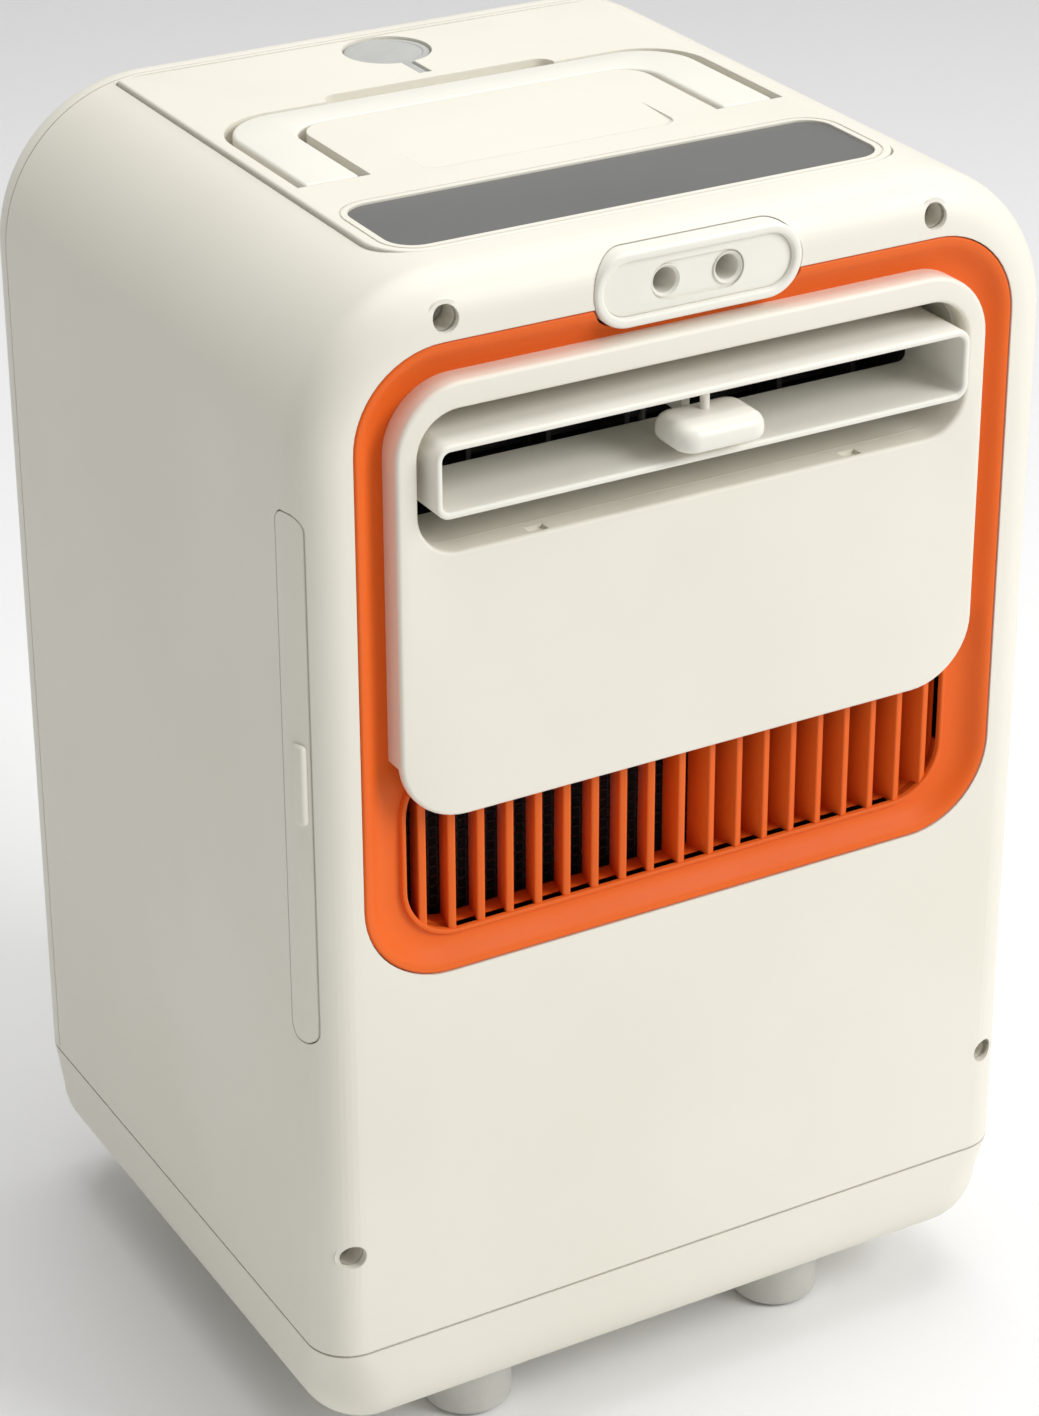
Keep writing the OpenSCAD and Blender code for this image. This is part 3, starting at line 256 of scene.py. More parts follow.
# %% Other finishes
def soft_rubber(name, colour, darker):
    finish = Finish(name, specular_ior_level=0.3, sheen_weight=0.15, sheen_roughness=0.5)
    bloom = finish.noise(60, 4, 0.65).ramp(0.35, 0.7)
    finish.feed("Base Color", finish.colours(bloom, darker, colour))
    finish.feed("Roughness", (0.62 + bloom * 0.12).clipped())
    finish.bump(finish.noise(2500, 2), 0.00002, 0.5, 0.0004)
    return finish.material


def brushed_metal(name, colour, roughness=0.3, stretch=(1, 1, 30)):
    finish = Finish(name, metallic=1.0)
    lines = finish.noise(300, 3, 0.6, stretch)
    finish.feed("Base Color", finish.colours(lines, tuple(v * 0.8 for v in colour), colour))
    finish.feed("Roughness", (roughness + lines * 0.15).clipped())
    finish.bump(lines, 0.00001, 0.4, 0.0002)
    return finish.material


def smoked_lens(name):
    finish = Finish(name, specular_ior_level=0.5, coat_weight=0.25, coat_roughness=0.2)
    cloud = finish.noise(18, 3).ramp(0.3, 0.7)
    finish.feed("Base Color", finish.colours(cloud, linear(100, 100, 98), linear(104, 104, 102)))
    finish.feed("Roughness", (0.4 + cloud * 0.05).clipped())
    finish.bump(finish.noise(1800, 2), 0.000008, 0.4)
    return finish.material


def clear_tank(name):
    finish = Finish(name, roughness=0.12, alpha=0.4, specular_ior_level=0.5)
    ripple = finish.noise(35, 3)
    finish.feed("Base Color", finish.colours(ripple, (0.62, 0.74, 0.80), (0.78, 0.87, 0.92)))
    finish.bump(ripple, 0.0003, 0.3)
    return finish.material


def felt(name, colour, darker, fibre=1400):
    finish = Finish(name, sheen_weight=0.4, sheen_roughness=0.4, specular_ior_level=0.2)
    fibres = finish.noise(fibre, 5, 0.7, (1, 1, 3))
    finish.feed("Base Color", finish.colours(fibres, darker, colour))
    finish.feed("Roughness", (0.8 + fibres * 0.15).clipped())
    finish.bump(fibres, 0.0003, 0.8)
    return finish.material


def circuit_board(name):
    finish = Finish(name, specular_ior_level=0.5, coat_weight=0.3, coat_roughness=0.2)
    bands = finish.node("ShaderNodeTexWave", {"wave_type": "BANDS"}, {
        "Vector": finish.position(), "Scale": 120.0, "Distortion": 14.0, "Detail": 2.0}, "Fac")
    track = bands.ramp(0.45, 0.55)
    finish.feed("Base Color", finish.colours(track, (0.012, 0.09, 0.035), (0.03, 0.2, 0.08)))
    finish.feed("Roughness", (0.35 + track * 0.1).clipped())
    finish.bump(track, 0.00006, 0.6)
    return finish.material


grey_rubber = soft_rubber("grey_plug_rubber", linear(184, 185, 181), linear(176, 177, 173))
foot_rubber = soft_rubber("pale_foot_rubber", linear(206, 205, 197), linear(198, 197, 189))
steel = brushed_metal("bright_screw_steel", (0.62, 0.63, 0.65))
bronze = brushed_metal("sintered_bronze", (0.55, 0.38, 0.18), 0.4)
lens_plastic = smoked_lens("smoked_touch_strip")
tank_plastic = clear_tank("clear_tank_plastic")
wick_felt = felt("white_wick_felt", (0.85, 0.85, 0.82), (0.6, 0.6, 0.57))
pad_paper = felt("black_cooling_paper", (0.035, 0.035, 0.035), (0.01, 0.01, 0.01), 700)
board_mask = circuit_board("green_board_mask")
mesh_black = moulded_plastic("black_filter_mesh", (0.03, 0.03, 0.03), (0.022, 0.022, 0.022), 0.45)
finishes = {"ivory_shell": ivory, "orange_surround": orange, "grey_rubber": grey_rubber,
            "dark_plastic": charcoal, "grey_plastic": inner_grey, "clear_tank": tank_plastic,
            "wet_pad": pad_paper, "wick_felt": wick_felt, "steel": steel, "bronze": bronze,
            "circuit_board": board_mask, "smoked_lens": lens_plastic}
print(len(finishes), "finishes")

# %% [markdown]
# ## Dress the parts that keep their machined shape
# Inner parts such as the duct, the fan and the boards already have the right shape, so
# they only take a finish from the list above.

# %% Finish the inner parts
slot_of = {s["node"]: s["material_slot"] for s in frame["record"]["subparts"]}
for name, node in frame["nodes"].items():
    node.data.materials.clear()
    node.data.materials.append(finishes[slot_of[name]])
print(len(frame["nodes"]), "nodes dressed")

# %% [markdown]
# ## Three ways to make a skin
# Most of this case is one outline pushed along one direction while it shrinks or grows
# a little, as a moulded part does at its rounded edges. So a *loft* through rings of
# equal length makes nearly everything. A loft that closes on itself makes a frame with
# a hole in it, and a boolean cuts what is left: slots, seats and screw pockets.

# %% Outlines and lofts
def rounded_outline(width, height, radius, steps=10):
    """A rounded rectangle, counter-clockwise from the right side's lower corner.

    The radius may be four values, one for each corner."""
    radii = radius if isinstance(radius, tuple) else (radius,) * 4
    points = []
    for k, (sx, sy) in enumerate(((1, -1), (1, 1), (-1, 1), (-1, -1))):
        start = -90 + 90 * k
        radius = max(min(radii[k], width / 2 - 1e-4, height / 2 - 1e-4), 1e-3)
        for i in range(steps + 1):
            a = math.radians(start + 90 * i / steps)
            points.append((sx * (width / 2 - radius) + radius * math.cos(a),
                           sy * (height / 2 - radius) + radius * math.sin(a)))
    return points


def facing_ring(width, height, radius, z, d, x=0, steps=10):
    """That outline upright and facing the front, at a depth behind the case's face."""
    return [(x + u, depth(d), z + v) for u, v in rounded_outline(width, height, radius, steps)]


def flat_ring(width, length, radius, y, z, x=0, steps=10):
    """That outline lying flat at a height."""
    return [(x + u, y + v, z) for u, v in rounded_outline(width, length, radius, steps)]


def loft(name, rings, closed=False):
    """A skin through rings of equal length: capped at both ends, or closed into a frame."""
    mesh = bpy.data.meshes.new(name)
    bm = bmesh.new()
    rows = [[bm.verts.new(Vector(p) * MM) for p in ring] for ring in rings]
    count = len(rows[0])
    pairs = list(zip(rows, rows[1:])) + ([(rows[-1], rows[0])] if closed else [])
    for a, b in pairs:
        for i in range(count):
            j = (i + 1) % count
            bm.faces.new((a[i], a[j], b[j], b[i]))
    if not closed:
        bm.faces.new(rows[0][::-1])
        bm.faces.new(rows[-1])
    bmesh.ops.remove_doubles(bm, verts=bm.verts, dist=1e-7)
    bmesh.ops.recalc_face_normals(bm, faces=bm.faces)
    bm.to_mesh(mesh)
    bm.free()
    piece = bpy.data.objects.new(name, mesh)
    bpy.context.scene.collection.objects.link(piece)
    return piece


print("outline of", len(rounded_outline(10, 6, 2)), "points")

# %% Solids with softened edges
def less(radius, inset):
    """A radius, or four of them, drawn in by inset."""
    return tuple(r - inset for r in radius) if isinstance(radius, tuple) else radius - inset


def quarter(radius, steps=5):
    """(inset, rise) pairs round a quarter circle, from the side to the face."""
    return [(radius * (1 - math.cos(a)), radius * (1 - math.sin(a)))
            for a in (math.pi / 2 * i / steps for i in range(steps + 1))]


def facing_slab(name, width, height, radius, z, d0, d1, soft=0.6, x=0, steps=10):
    """A slab that faces the front, with a rounded front edge."""
    rings = [facing_ring(width, height, radius, z, d1, x, steps)]
    for inset, rise in quarter(soft):
        rings.append(facing_ring(width - 2 * inset, height - 2 * inset, less(radius, inset), z,
                                 d0 + rise, x, steps))
    return loft(name, rings)


def flat_slab(name, width, length, radius, y, z0, z1, soft=0.6, x=0, steps=10):
    """A slab that lies flat, with a rounded upper edge."""
    rings = [flat_ring(width, length, radius, y, z0, x, steps)]
    for inset, rise in quarter(soft):
        rings.append(flat_ring(width - 2 * inset, length - 2 * inset, less(radius, inset), y,
                               z1 - rise, x, steps))
    return loft(name, rings)


def facing_frame(name, outer, inner, z, d0, d1, soft=0.6, steps=10):
    """A frame that faces the front: outer and inner are (width, height, radius)."""
    ow, oh, orad = outer
    iw, ih, irad = inner
    rings = [facing_ring(ow, oh, orad, z, d1, steps=steps)]
    for inset, rise in quarter(soft):
        rings.append(facing_ring(ow - 2 * inset, oh - 2 * inset, orad - inset, z, d0 + rise, steps=steps))
    for inset, rise in reversed(quarter(soft)):
        rings.append(facing_ring(iw + 2 * inset, ih + 2 * inset, irad + inset, z, d0 + rise, steps=steps))
    rings.append(facing_ring(iw, ih, irad, z, d1, steps=steps))
    return loft(name, rings, closed=True)


def turned(name, profile, centre, axis="z", steps=48, closed=False):
    """A turned solid from (radius, along) pairs, round an axis through centre; closed makes a tube."""
    rings = []
    for radius, along in profile:
        ring = []
        for i in range(steps):
            a = 2 * math.pi * i / steps
            u, v = max(radius, 1e-3) * math.cos(a), max(radius, 1e-3) * math.sin(a)
            ring.append({"z": (centre[0] + u, centre[1] + v, centre[2] + along),
                         "y": (centre[0] + u, centre[1] + along, centre[2] + v),
                         "x": (centre[0] + along, centre[1] + u, centre[2] + v)}[axis])
        rings.append(ring)
    return loft(name, rings, closed)


def block(name, low, high, soft=0.0, steps=3):
    """A box given by its corners, its edges rounded by soft."""
    bm = bmesh.new()
    bmesh.ops.create_cube(bm, size=1)
    for v in bm.verts:
        v.co = Vector(((low[k] + high[k]) / 2 + v.co[k] * (high[k] - low[k]) for k in range(3))) * MM
    if soft:
        bmesh.ops.bevel(bm, geom=bm.edges[:], offset=soft * MM, segments=steps, profile=0.5, affect="EDGES")
    mesh = bpy.data.meshes.new(name)
    bm.to_mesh(mesh)
    bm.free()
    piece = bpy.data.objects.new(name, mesh)
    bpy.context.scene.collection.objects.link(piece)
    return piece


def plain_mesh(piece):
    """Applies the modifiers on a piece."""
    graph = bpy.context.evaluated_depsgraph_get()
    mesh = bpy.data.meshes.new_from_object(piece.evaluated_get(graph))
    piece.modifiers.clear()
    old, piece.data = piece.data, mesh
    bpy.data.meshes.remove(old)
    return piece


def carve(piece, cutters, operation="DIFFERENCE"):
    """Cuts, joins or keeps what the cutters cover, and throws the cutters away."""
    for cutter in cutters:
        step = piece.modifiers.new("carve", "BOOLEAN")
        step.operation, step.solver, step.object = operation, "EXACT", cutter
        plain_mesh(piece)
        mesh = cutter.data
        bpy.data.objects.remove(cutter)
        bpy.data.meshes.remove(mesh)
    return piece


def join(piece, others):
    """Other pieces become part of this one."""
    bm = bmesh.new()
    bm.from_mesh(piece.data)
    for other in others:
        bm.from_mesh(other.data)
        mesh = other.data
        bpy.data.objects.remove(other)
        bpy.data.meshes.remove(mesh)
    bm.to_mesh(piece.data)
    bm.free()
    return piece


def done(piece, body, material, *nodes, smooth=32):
    """Shades a finished piece, gives it its finish and hangs it on its body."""
    for polygon in piece.data.polygons:
        polygon.use_smooth = True
    piece.data.set_sharp_from_angle(angle=math.radians(smooth))
    piece.data.materials.clear()
    piece.data.materials.append(material)
    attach(piece, body)
    if nodes:
        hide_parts(*nodes)
    print(piece.name, len(piece.data.polygons), "faces")
    return piece


print("solid helpers ready")

# %% [markdown]
# ## The case as one solid
# Seen from the front the case is a tall tombstone with 50 mm shoulders, and its front,
# rear and upright edges all roll over by 14 mm. Each ring of the loft is the front
# outline drawn in by as much as the roll has used up at that depth. The shell, the rear
# cover and the filter's end strip are all cut from this one solid, so
# their surfaces run on into each other without a step.

# %% Upper case solid
ARC_STEPS = 20


def tombstone_ring(inset, y, low):
    """The front outline drawn in by inset, at one y, from the height low upwards."""
    radius = TOP_R - inset
    points = [(-(HALF_W - inset), low), (HALF_W - inset, low)]
    for centre_x, start in ((HALF_W - TOP_R, 0), (-(HALF_W - TOP_R), 90)):
        for i in range(ARC_STEPS + 1):
            a = math.radians(start + 90 * i / ARC_STEPS)
            points.append((centre_x + radius * math.cos(a), TOP - TOP_R + radius * math.sin(a)))
    return [(x, y, z) for x, z in points]


def case_solid(name, shrink=0.0, low=None, roll_steps=12):
    low = SEAM if low is None else low
    roll = EDGE_R - shrink
    rings = []
    angles = [math.pi / 2 * i / roll_steps for i in range(roll_steps + 1)]
    for a in angles:
        behind = shrink + roll * (1 - math.cos(a))
        rings.append(tombstone_ring(shrink + roll * (1 - math.sin(a)), FRONT + behind, low))
    for a in reversed(angles):
        ahead = shrink + roll * (1 - math.cos(a))
        rings.append(tombstone_ring(shrink + roll * (1 - math.sin(a)), REAR - ahead, low))
    return loft(name, rings)


print("case ring of", len(tombstone_ring(0, 0, SEAM)), "points")

# %% [markdown]
# ## Sizes of the front
# These are the same sizes that the frame's parts were made with. Where the frame can
# tell, it is asked.

# %% Front sizes
ring_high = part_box("intake_grille")[1] / MM
panel_low, panel_high = (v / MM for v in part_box("front_panel"))
rim_low, rim_high = (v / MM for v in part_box("nozzle_rim"))
louvre_low, louvre_high = (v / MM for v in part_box("outlet_frame"))
RING_W, RING_H, RING_R = 2 * (HALF_W - EDGE_R - 2), 197.3, 28.0
RING_Z = TOP - 18 - RING_H / 2
PANEL_W, PANEL_H, PANEL_R = panel_high[0] - panel_low[0], panel_high[2] - panel_low[2], 21.0
PANEL_Z, PANEL_D = (panel_high[2] + panel_low[2]) / 2, panel_low[1] - FRONT
MOUTH_W, MOUTH_H, MOUTH_R = 182.0, 42.5, 13.0
MOUTH_Z = TOP - 36.8 - MOUTH_H / 2
FLOOR_D = 5.2
GRILLE_W, GRILLE_R = 186.0, 17.0
GRILLE_LOW, GRILLE_HIGH = TOP - 203.8, PANEL_Z - PANEL_H / 2 + 16
BOSS_W, BOSS_H, BOSS_Z = 68.4, 22.8, (rim_high[2] + rim_low[2]) / 2
FRAME_Z, FRAME_H = (louvre_high[2] + louvre_low[2]) / 2, louvre_high[2] - louvre_low[2]
FRAME_W = MOUTH_W - 5.6
print("panel", round(PANEL_W, 1), "x", round(PANEL_H, 1), "at", round(PANEL_D, 2))

# %% [markdown]
# ## Top sizes
# The top panel is let into the case, and the handle, the touch strip and the filler
# plug are let into the top panel.

# %% Top sizes
lens_low, lens_high = (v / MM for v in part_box("display_lens"))
top_low, top_high = (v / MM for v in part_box("top_panel"))
handle_low, handle_high = (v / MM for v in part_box("handle"))
plug_low, plug_high = (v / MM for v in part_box("filler_plug"))
PLUG_R = (plug_high[0] - plug_low[0]) / 2
PLUG_Y = plug_high[1] - PLUG_R
TOP_W, TOP_LEN = top_high[0] - top_low[0], top_high[1] - top_low[1]
TOP_MID = (top_high[1] + top_low[1]) / 2
TOP_SEAT = TOP - 3.5
TOP_CORNERS = (15.0, 1.5, 1.5, 15.0)
print("top panel", round(TOP_W, 1), "x", round(TOP_LEN, 1), "plug at", round(PLUG_Y - FRONT, 1))

# %% [markdown]
# ## Main shell
# A hollow moulding with its front cut away for the coloured surround, a pill-shaped
# seat for the mist head, four deep screw pockets, a recess for the top panel and a
# slot that lets the filter out of the left side.

# %% Main shell
SCREWS = [(sx * x, z) for x, z in ((HALF_W - 45.1, TOP - 11.6), (HALF_W - 10, SEAM + 36.4)) for sx in (-1, 1)]
POCKET_R = 3.9
STRIP_LOW, STRIP_HIGH = TOP - 86 - 142 - 3.7, TOP - 86 + 23.7
STRIP_FRONT, STRIP_BACK = 5.1, 16.8


def strip_prism(name, margin, corner):
    """The rounded window in the left side, reaching in from outside."""
    middle_d, middle_z = (STRIP_FRONT + STRIP_BACK) / 2, (STRIP_LOW + STRIP_HIGH) / 2
    wide, tall = STRIP_BACK - STRIP_FRONT - 2 * margin, STRIP_HIGH - STRIP_LOW - 2 * margin
    rings = [[(x, depth(middle_d) + u, middle_z + v) for u, v in rounded_outline(wide, tall, corner, 8)]
             for x in (-HALF_W - 3, -HALF_W + EDGE_R)]
    return loft(name, rings)


def hollow_case(name, low):
    return carve(case_solid(name, 0, low), [case_solid("hollow", WALL, low - 5)])


shell = hollow_case("case_shell", SEAM + 0.35)
carve(shell, [
    block("behind", (-200, REAR_SEAM - 0.2, 0), (200, REAR + 50, 500)),
    facing_slab("ring_cut", RING_W, RING_H, RING_R, RING_Z, -5, 6, 0.01, steps=14),
    facing_slab("boss_cut", BOSS_W, BOSS_H, BOSS_H / 2, BOSS_Z, -5, 8.6, 0.01, steps=16),
    flat_slab("top_cut", TOP_W + 1.5, TOP_LEN + 1.1, less(TOP_CORNERS, -0.6), TOP_MID, TOP_SEAT - 6, TOP + 5,
              0.01, steps=12),
    strip_prism("strip_cut", 0.0, 4.9),
])
for x, z in SCREWS:
    carve(shell, [turned("pocket", [(POCKET_R, depth(-3)), (POCKET_R, depth(8))], (x, 0, z), "y", 32)])
print("shell", len(shell.data.polygons), "faces")

# %% [markdown]
# The pockets need walls and a floor, or the inside of the case would show through
# them. Each is a turned cup whose rim meets the hole.

# %% Screw cups, the top ledge, and the finished shell
cups = []
for x, z in SCREWS:
    start = 1.6 if z > 300 else 3.0
    cup = [(POCKET_R + 1.4, 16.8), (POCKET_R + 1.4, start), (POCKET_R, start), (POCKET_R, 10.6),
           (1.72, 10.9), (1.72, 16.8)]
    cups.append(turned("cup", cup, (x, FRONT, z), "y", 32))
ledge = loft("ledge", [flat_ring(TOP_W + 6, TOP_LEN + 3, less(TOP_CORNERS, -1), TOP_MID, TOP_SEAT - 2.8),
                       flat_ring(TOP_W + 6, TOP_LEN + 3, less(TOP_CORNERS, -1), TOP_MID, TOP_SEAT),
                       flat_ring(TOP_W - 3, TOP_LEN - 8, 12, TOP_MID, TOP_SEAT),
                       flat_ring(TOP_W - 3, TOP_LEN - 8, 12, TOP_MID, TOP_SEAT - 2.8)], closed=True)
carve(ledge, [turned("neck_room", [(13.2, -20), (13.2, 20)], (0, PLUG_Y, TOP_SEAT), "z", 40)])
join(shell, cups + [ledge])
done(shell, "case", ivory, "main_shell")

# %% [markdown]
# ## Rear cover
# It closes the back with two banks of slots, four screw pockets and the socket's
# boss. The slots repeat, so a small Geometry Nodes tree draws the cutters.

# %% A tree that repeats one box along a direction
def repeat_tree(name, material=None):
    """Boxes of one size at equal steps, each turned about Z by its side of the middle."""
    tree = bpy.data.node_groups.new(name, "GeometryNodeTree")
    face = tree.interface
    sockets = {}
    for label, kind, default in (("Count", "NodeSocketInt", 3),
                                 ("Start", "NodeSocketVector", (0, 0, 0)),
                                 ("Step", "NodeSocketVector", (0.01, 0, 0)),
                                 ("Size", "NodeSocketVector", (1, 1, 1)),
                                 ("Splay", "NodeSocketFloat", 0.0)):
        item = face.new_socket(label, in_out="INPUT", socket_type=kind)
        item.default_value = default
        sockets[label] = item.identifier
    face.new_socket("Geometry", in_out="OUTPUT", socket_type="NodeSocketGeometry")
    nodes, links = tree.nodes, tree.links

    def add(kind, **settings):
        node = nodes.new(kind)
        for key, value in settings.items():
            setattr(node, key, value)
        return node

    given = add("NodeGroupInput")
    line = add("GeometryNodeMeshLine", mode="OFFSET")
    links.new(given.outputs["Count"], line.inputs["Count"])
    links.new(given.outputs["Start"], line.inputs["Start Location"])
    links.new(given.outputs["Step"], line.inputs["Offset"])
    cube = add("GeometryNodeMeshCube")
    links.new(given.outputs["Size"], cube.inputs["Size"])
    place = add("GeometryNodeInputPosition")
    split = add("ShaderNodeSeparateXYZ")
    links.new(place.outputs[0], split.inputs[0])
    side = add("ShaderNodeMath", operation="SIGN")
    near = add("ShaderNodeMath", operation="SNAP")
    links.new(split.outputs["X"], near.inputs[0])
    near.inputs[1].default_value = 1e-5
    links.new(near.outputs[0], side.inputs[0])
    turn = add("ShaderNodeMath", operation="MULTIPLY")
    links.new(side.outputs[0], turn.inputs[0])
    links.new(given.outputs["Splay"], turn.inputs[1])
    axis = add("ShaderNodeCombineXYZ")
    links.new(turn.outputs[0], axis.inputs["Z"])
    copies = add("GeometryNodeInstanceOnPoints")
    links.new(line.outputs["Mesh"], copies.inputs["Points"])
    links.new(cube.outputs["Mesh"], copies.inputs["Instance"])
    links.new(axis.outputs[0], copies.inputs["Rotation"])
    real = add("GeometryNodeRealizeInstances")
    links.new(copies.outputs[0], real.inputs[0])
    paint = add("GeometryNodeSetMaterial")
    paint.inputs["Material"].default_value = material
    links.new(real.outputs[0], paint.inputs["Geometry"])
    leave = add("NodeGroupOutput")
    links.new(paint.outputs[0], leave.inputs[0])
    return tree, sockets


def repeated(name, count, start, step, size, splay=0.0, material=None):
    """A plain mesh of that many boxes; start, step and size in millimetres."""
    tree, sockets = repeat_tree(name + "_tree", material)
    piece = bpy.data.objects.new(name, bpy.data.meshes.new(name))
    bpy.context.scene.collection.objects.link(piece)
    maker = piece.modifiers.new("repeat", "NODES")
    maker.node_group = tree
    maker[sockets["Count"]] = count
    maker[sockets["Splay"]] = splay
    for label, value in (("Start", start), ("Step", step), ("Size", size)):
        maker[sockets[label]] = [v * MM for v in value]
    plain_mesh(piece)
    bpy.data.node_groups.remove(tree)
    return piece


print("repeat tree ready")

# %% Rear cover
screen_low, screen_high = (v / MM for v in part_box("rear_screen"))
VENT_LOW, VENT_HIGH, VENT_X = screen_low[2] + 4, screen_high[2] - 4, screen_high[0] - 4
SLOTS = 14
slot_step = (VENT_HIGH - VENT_LOW) / SLOTS
cover = hollow_case("rear_cover_skin", SEAM + 0.35)
carve(cover, [block("ahead", (-200, FRONT - 50, 0), (200, REAR_SEAM + 0.2, 500))])
for side in (-1, 1):
    carve(cover, [repeated("slots", SLOTS, (side * (VENT_X / 2 + 1), REAR, VENT_LOW + slot_step / 2),
                           (0, 0, slot_step), (VENT_X - 2, 14, slot_step * 0.54))])
REAR_SCREWS = [(sx * (HALF_W - 20), z) for z in (SEAM + 25, TOP - 75) for sx in (-1, 1)]
inlet_low, inlet_high = (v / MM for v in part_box("power_inlet"))
INLET_X, INLET_Z = (inlet_low[0] + inlet_high[0]) / 2, (inlet_low[2] + inlet_high[2]) / 2
for x, z, r in [(*p, 3.6) for p in REAR_SCREWS] + [(INLET_X, INLET_Z, 5.55)]:
    carve(cover, [turned("rear_pocket", [(r, -8), (r, 3)], (x, REAR, z), "y", 32)])
rear_cups = [turned("rear_cup", [(5.0, -2.2), (3.6, -2.2), (3.6, -8), (1.8, -8), (1.8, -15.6), (5.0, -15.6)],
                    (x, REAR, z), "y", 32) for x, z in REAR_SCREWS]
socket_boss = turned("socket_boss", [(7, -2.2), (5.55, -2.2), (5.55, -13.9), (7, -13.9)],
                     (INLET_X, REAR, INLET_Z), "y", 32, closed=True)
join(cover, rear_cups + [socket_boss])
done(cover, "case", ivory, "rear_cover")

# %% [markdown]
# ## Base tray and feet
# The tray rolls under by 22 mm, and four straight round feet carry it. The tray's
# rings are drawn flat and stacked, the feet are turned.

# %% Base tray
def tray_ring(z, shrink=0.0):
    """Half width, half depth and corner radius change with height, as the mould's do."""
    if z < UNDERSIDE + BASE_R:
        t = max(0.0, min(1.0, (UNDERSIDE + BASE_R - z) / BASE_R))
        inset = BASE_R * (1 - math.sqrt(max(0.0, 1 - t * t)))
        corner = BASE_R - inset
    else:
        inset = 0.0
        corner = BASE_R + (EDGE_R - BASE_R) * min(1.0, (z - UNDERSIDE - BASE_R) / (SEAM - UNDERSIDE - BASE_R))
    wide = 2 * (HALF_W - inset - shrink)
    long = REAR - FRONT - 2 * (inset + shrink)
    return wide, long, max(corner - shrink, 0.6)


middle_y = (FRONT + REAR) / 2
heights = [UNDERSIDE + BASE_R * (1 - math.cos(math.pi / 2 * i / 14)) for i in range(15)]
heights += [SEAM - 4, SEAM - 0.35]
outer = [flat_ring(*tray_ring(z), middle_y, z, steps=12) for z in heights]
inner = [flat_ring(*tray_ring(z, WALL), middle_y, max(z, UNDERSIDE + WALL), steps=12)
         for z in reversed(heights[4:])]
post_profile = [(5.4, UNDERSIDE + 1), (5.4, SEAM + 2), (1.75, SEAM + 2), (1.75, SEAM - 4), (3.5, SEAM - 4),
                (3.5, UNDERSIDE + 1)]
tray = loft("tray_skin", outer + inner)
for x, y in [(sx * (HALF_W - 25), middle_y + sy * 70) for sx in (-1, 1) for sy in (-1, 1)]:
    carve(tray, [turned("tray_hole", [(3.5, -2), (3.5, 6)], (x, y, UNDERSIDE), "z", 28)])
    join(tray, [turned("tray_post", post_profile, (x, y, 0), "z", 28, closed=True)])
done(tray, "case", ivory, "base_tray")

# %% Feet
for corner in ("front_left", "front_right", "rear_left", "rear_right"):
    low, high = (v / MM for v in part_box("foot_" + corner))
    centre = ((low[0] + high[0]) / 2, (low[1] + high[1]) / 2, 0)
    radius = (high[0] - low[0]) / 2
    profile = [(radius - 3.2, 0.6), (radius - 2.9, 0.0)]
    profile += [(radius - 2.6 + 2.6 * math.sin(a), 2.6 - 2.6 * math.cos(a)) for a in
                (math.pi / 2 * i / 6 for i in range(7))]
    profile += [(radius, UNDERSIDE),
                (4, UNDERSIDE), (4, UNDERSIDE + WALL)]
    profile = [(0.01, 0.6)] + profile + [(0.01, UNDERSIDE + WALL)]
    foot = turned("foot_skin_" + corner, profile, centre, "z", 56)
    done(foot, "case", foot_rubber, "foot_" + corner)

# %% [markdown]
# ## The coloured surround
# It starts flush with the case, rolls inwards over a soft lip and dishes down to a
# floor that the front panel stands on. A raised bead frames the intake's mouth, and
# nineteen thin vanes fan out from the middle behind it.

# %% Surround
dish = [(0.25, 7.5), (0.25, 0.9), (0.45, 0.35), (0.9, 0.05), (1.8, 0.1), (2.8, 0.5), (3.9, 1.3), (5.0, 2.3),
        (6.2, 3.25), (7.6, 4.05), (9.2, 4.65), (11.0, 5.02), (13.0, 5.2)]
surround = loft("surround_skin", [facing_ring(RING_W - 2 * i, RING_H - 2 * i, RING_R - i, RING_Z, d, steps=14)
                                  for i, d in dish])
lip_z, lip_h = (GRILLE_LOW + GRILLE_HIGH) / 2, GRILLE_HIGH - GRILLE_LOW
carve(surround, [
    facing_slab("grille_cut", GRILLE_W, lip_h, GRILLE_R, lip_z, -3, 9, 0.01, steps=12),
    facing_slab("duct_cut", MOUTH_W, MOUTH_H + 2.5, MOUTH_R, MOUTH_Z, -3, 9, 0.01, steps=12),
    facing_slab("boss_room", BOSS_W + 1, BOSS_H + 1, BOSS_H / 2 + 0.5, BOSS_Z, -3, 9, 0.01, steps=16),
])
THROAT_D = ring_high[1] - FRONT
bead_profile = [(0.0, THROAT_D), (0.0, 4.3), (0.15, 3.85), (0.5, 3.6), (1.0, 3.6), (1.45, 3.8), (1.75, 4.4),
                (1.8, 5.4), (1.8, THROAT_D)]
bead = loft("bead", [facing_ring(GRILLE_W + 2 * o, lip_h + 2 * o, GRILLE_R + o, lip_z, d, steps=12)
                     for o, d in bead_profile], closed=True)
join(surround, [bead])
done(surround, "case", orange, "intake_grille")

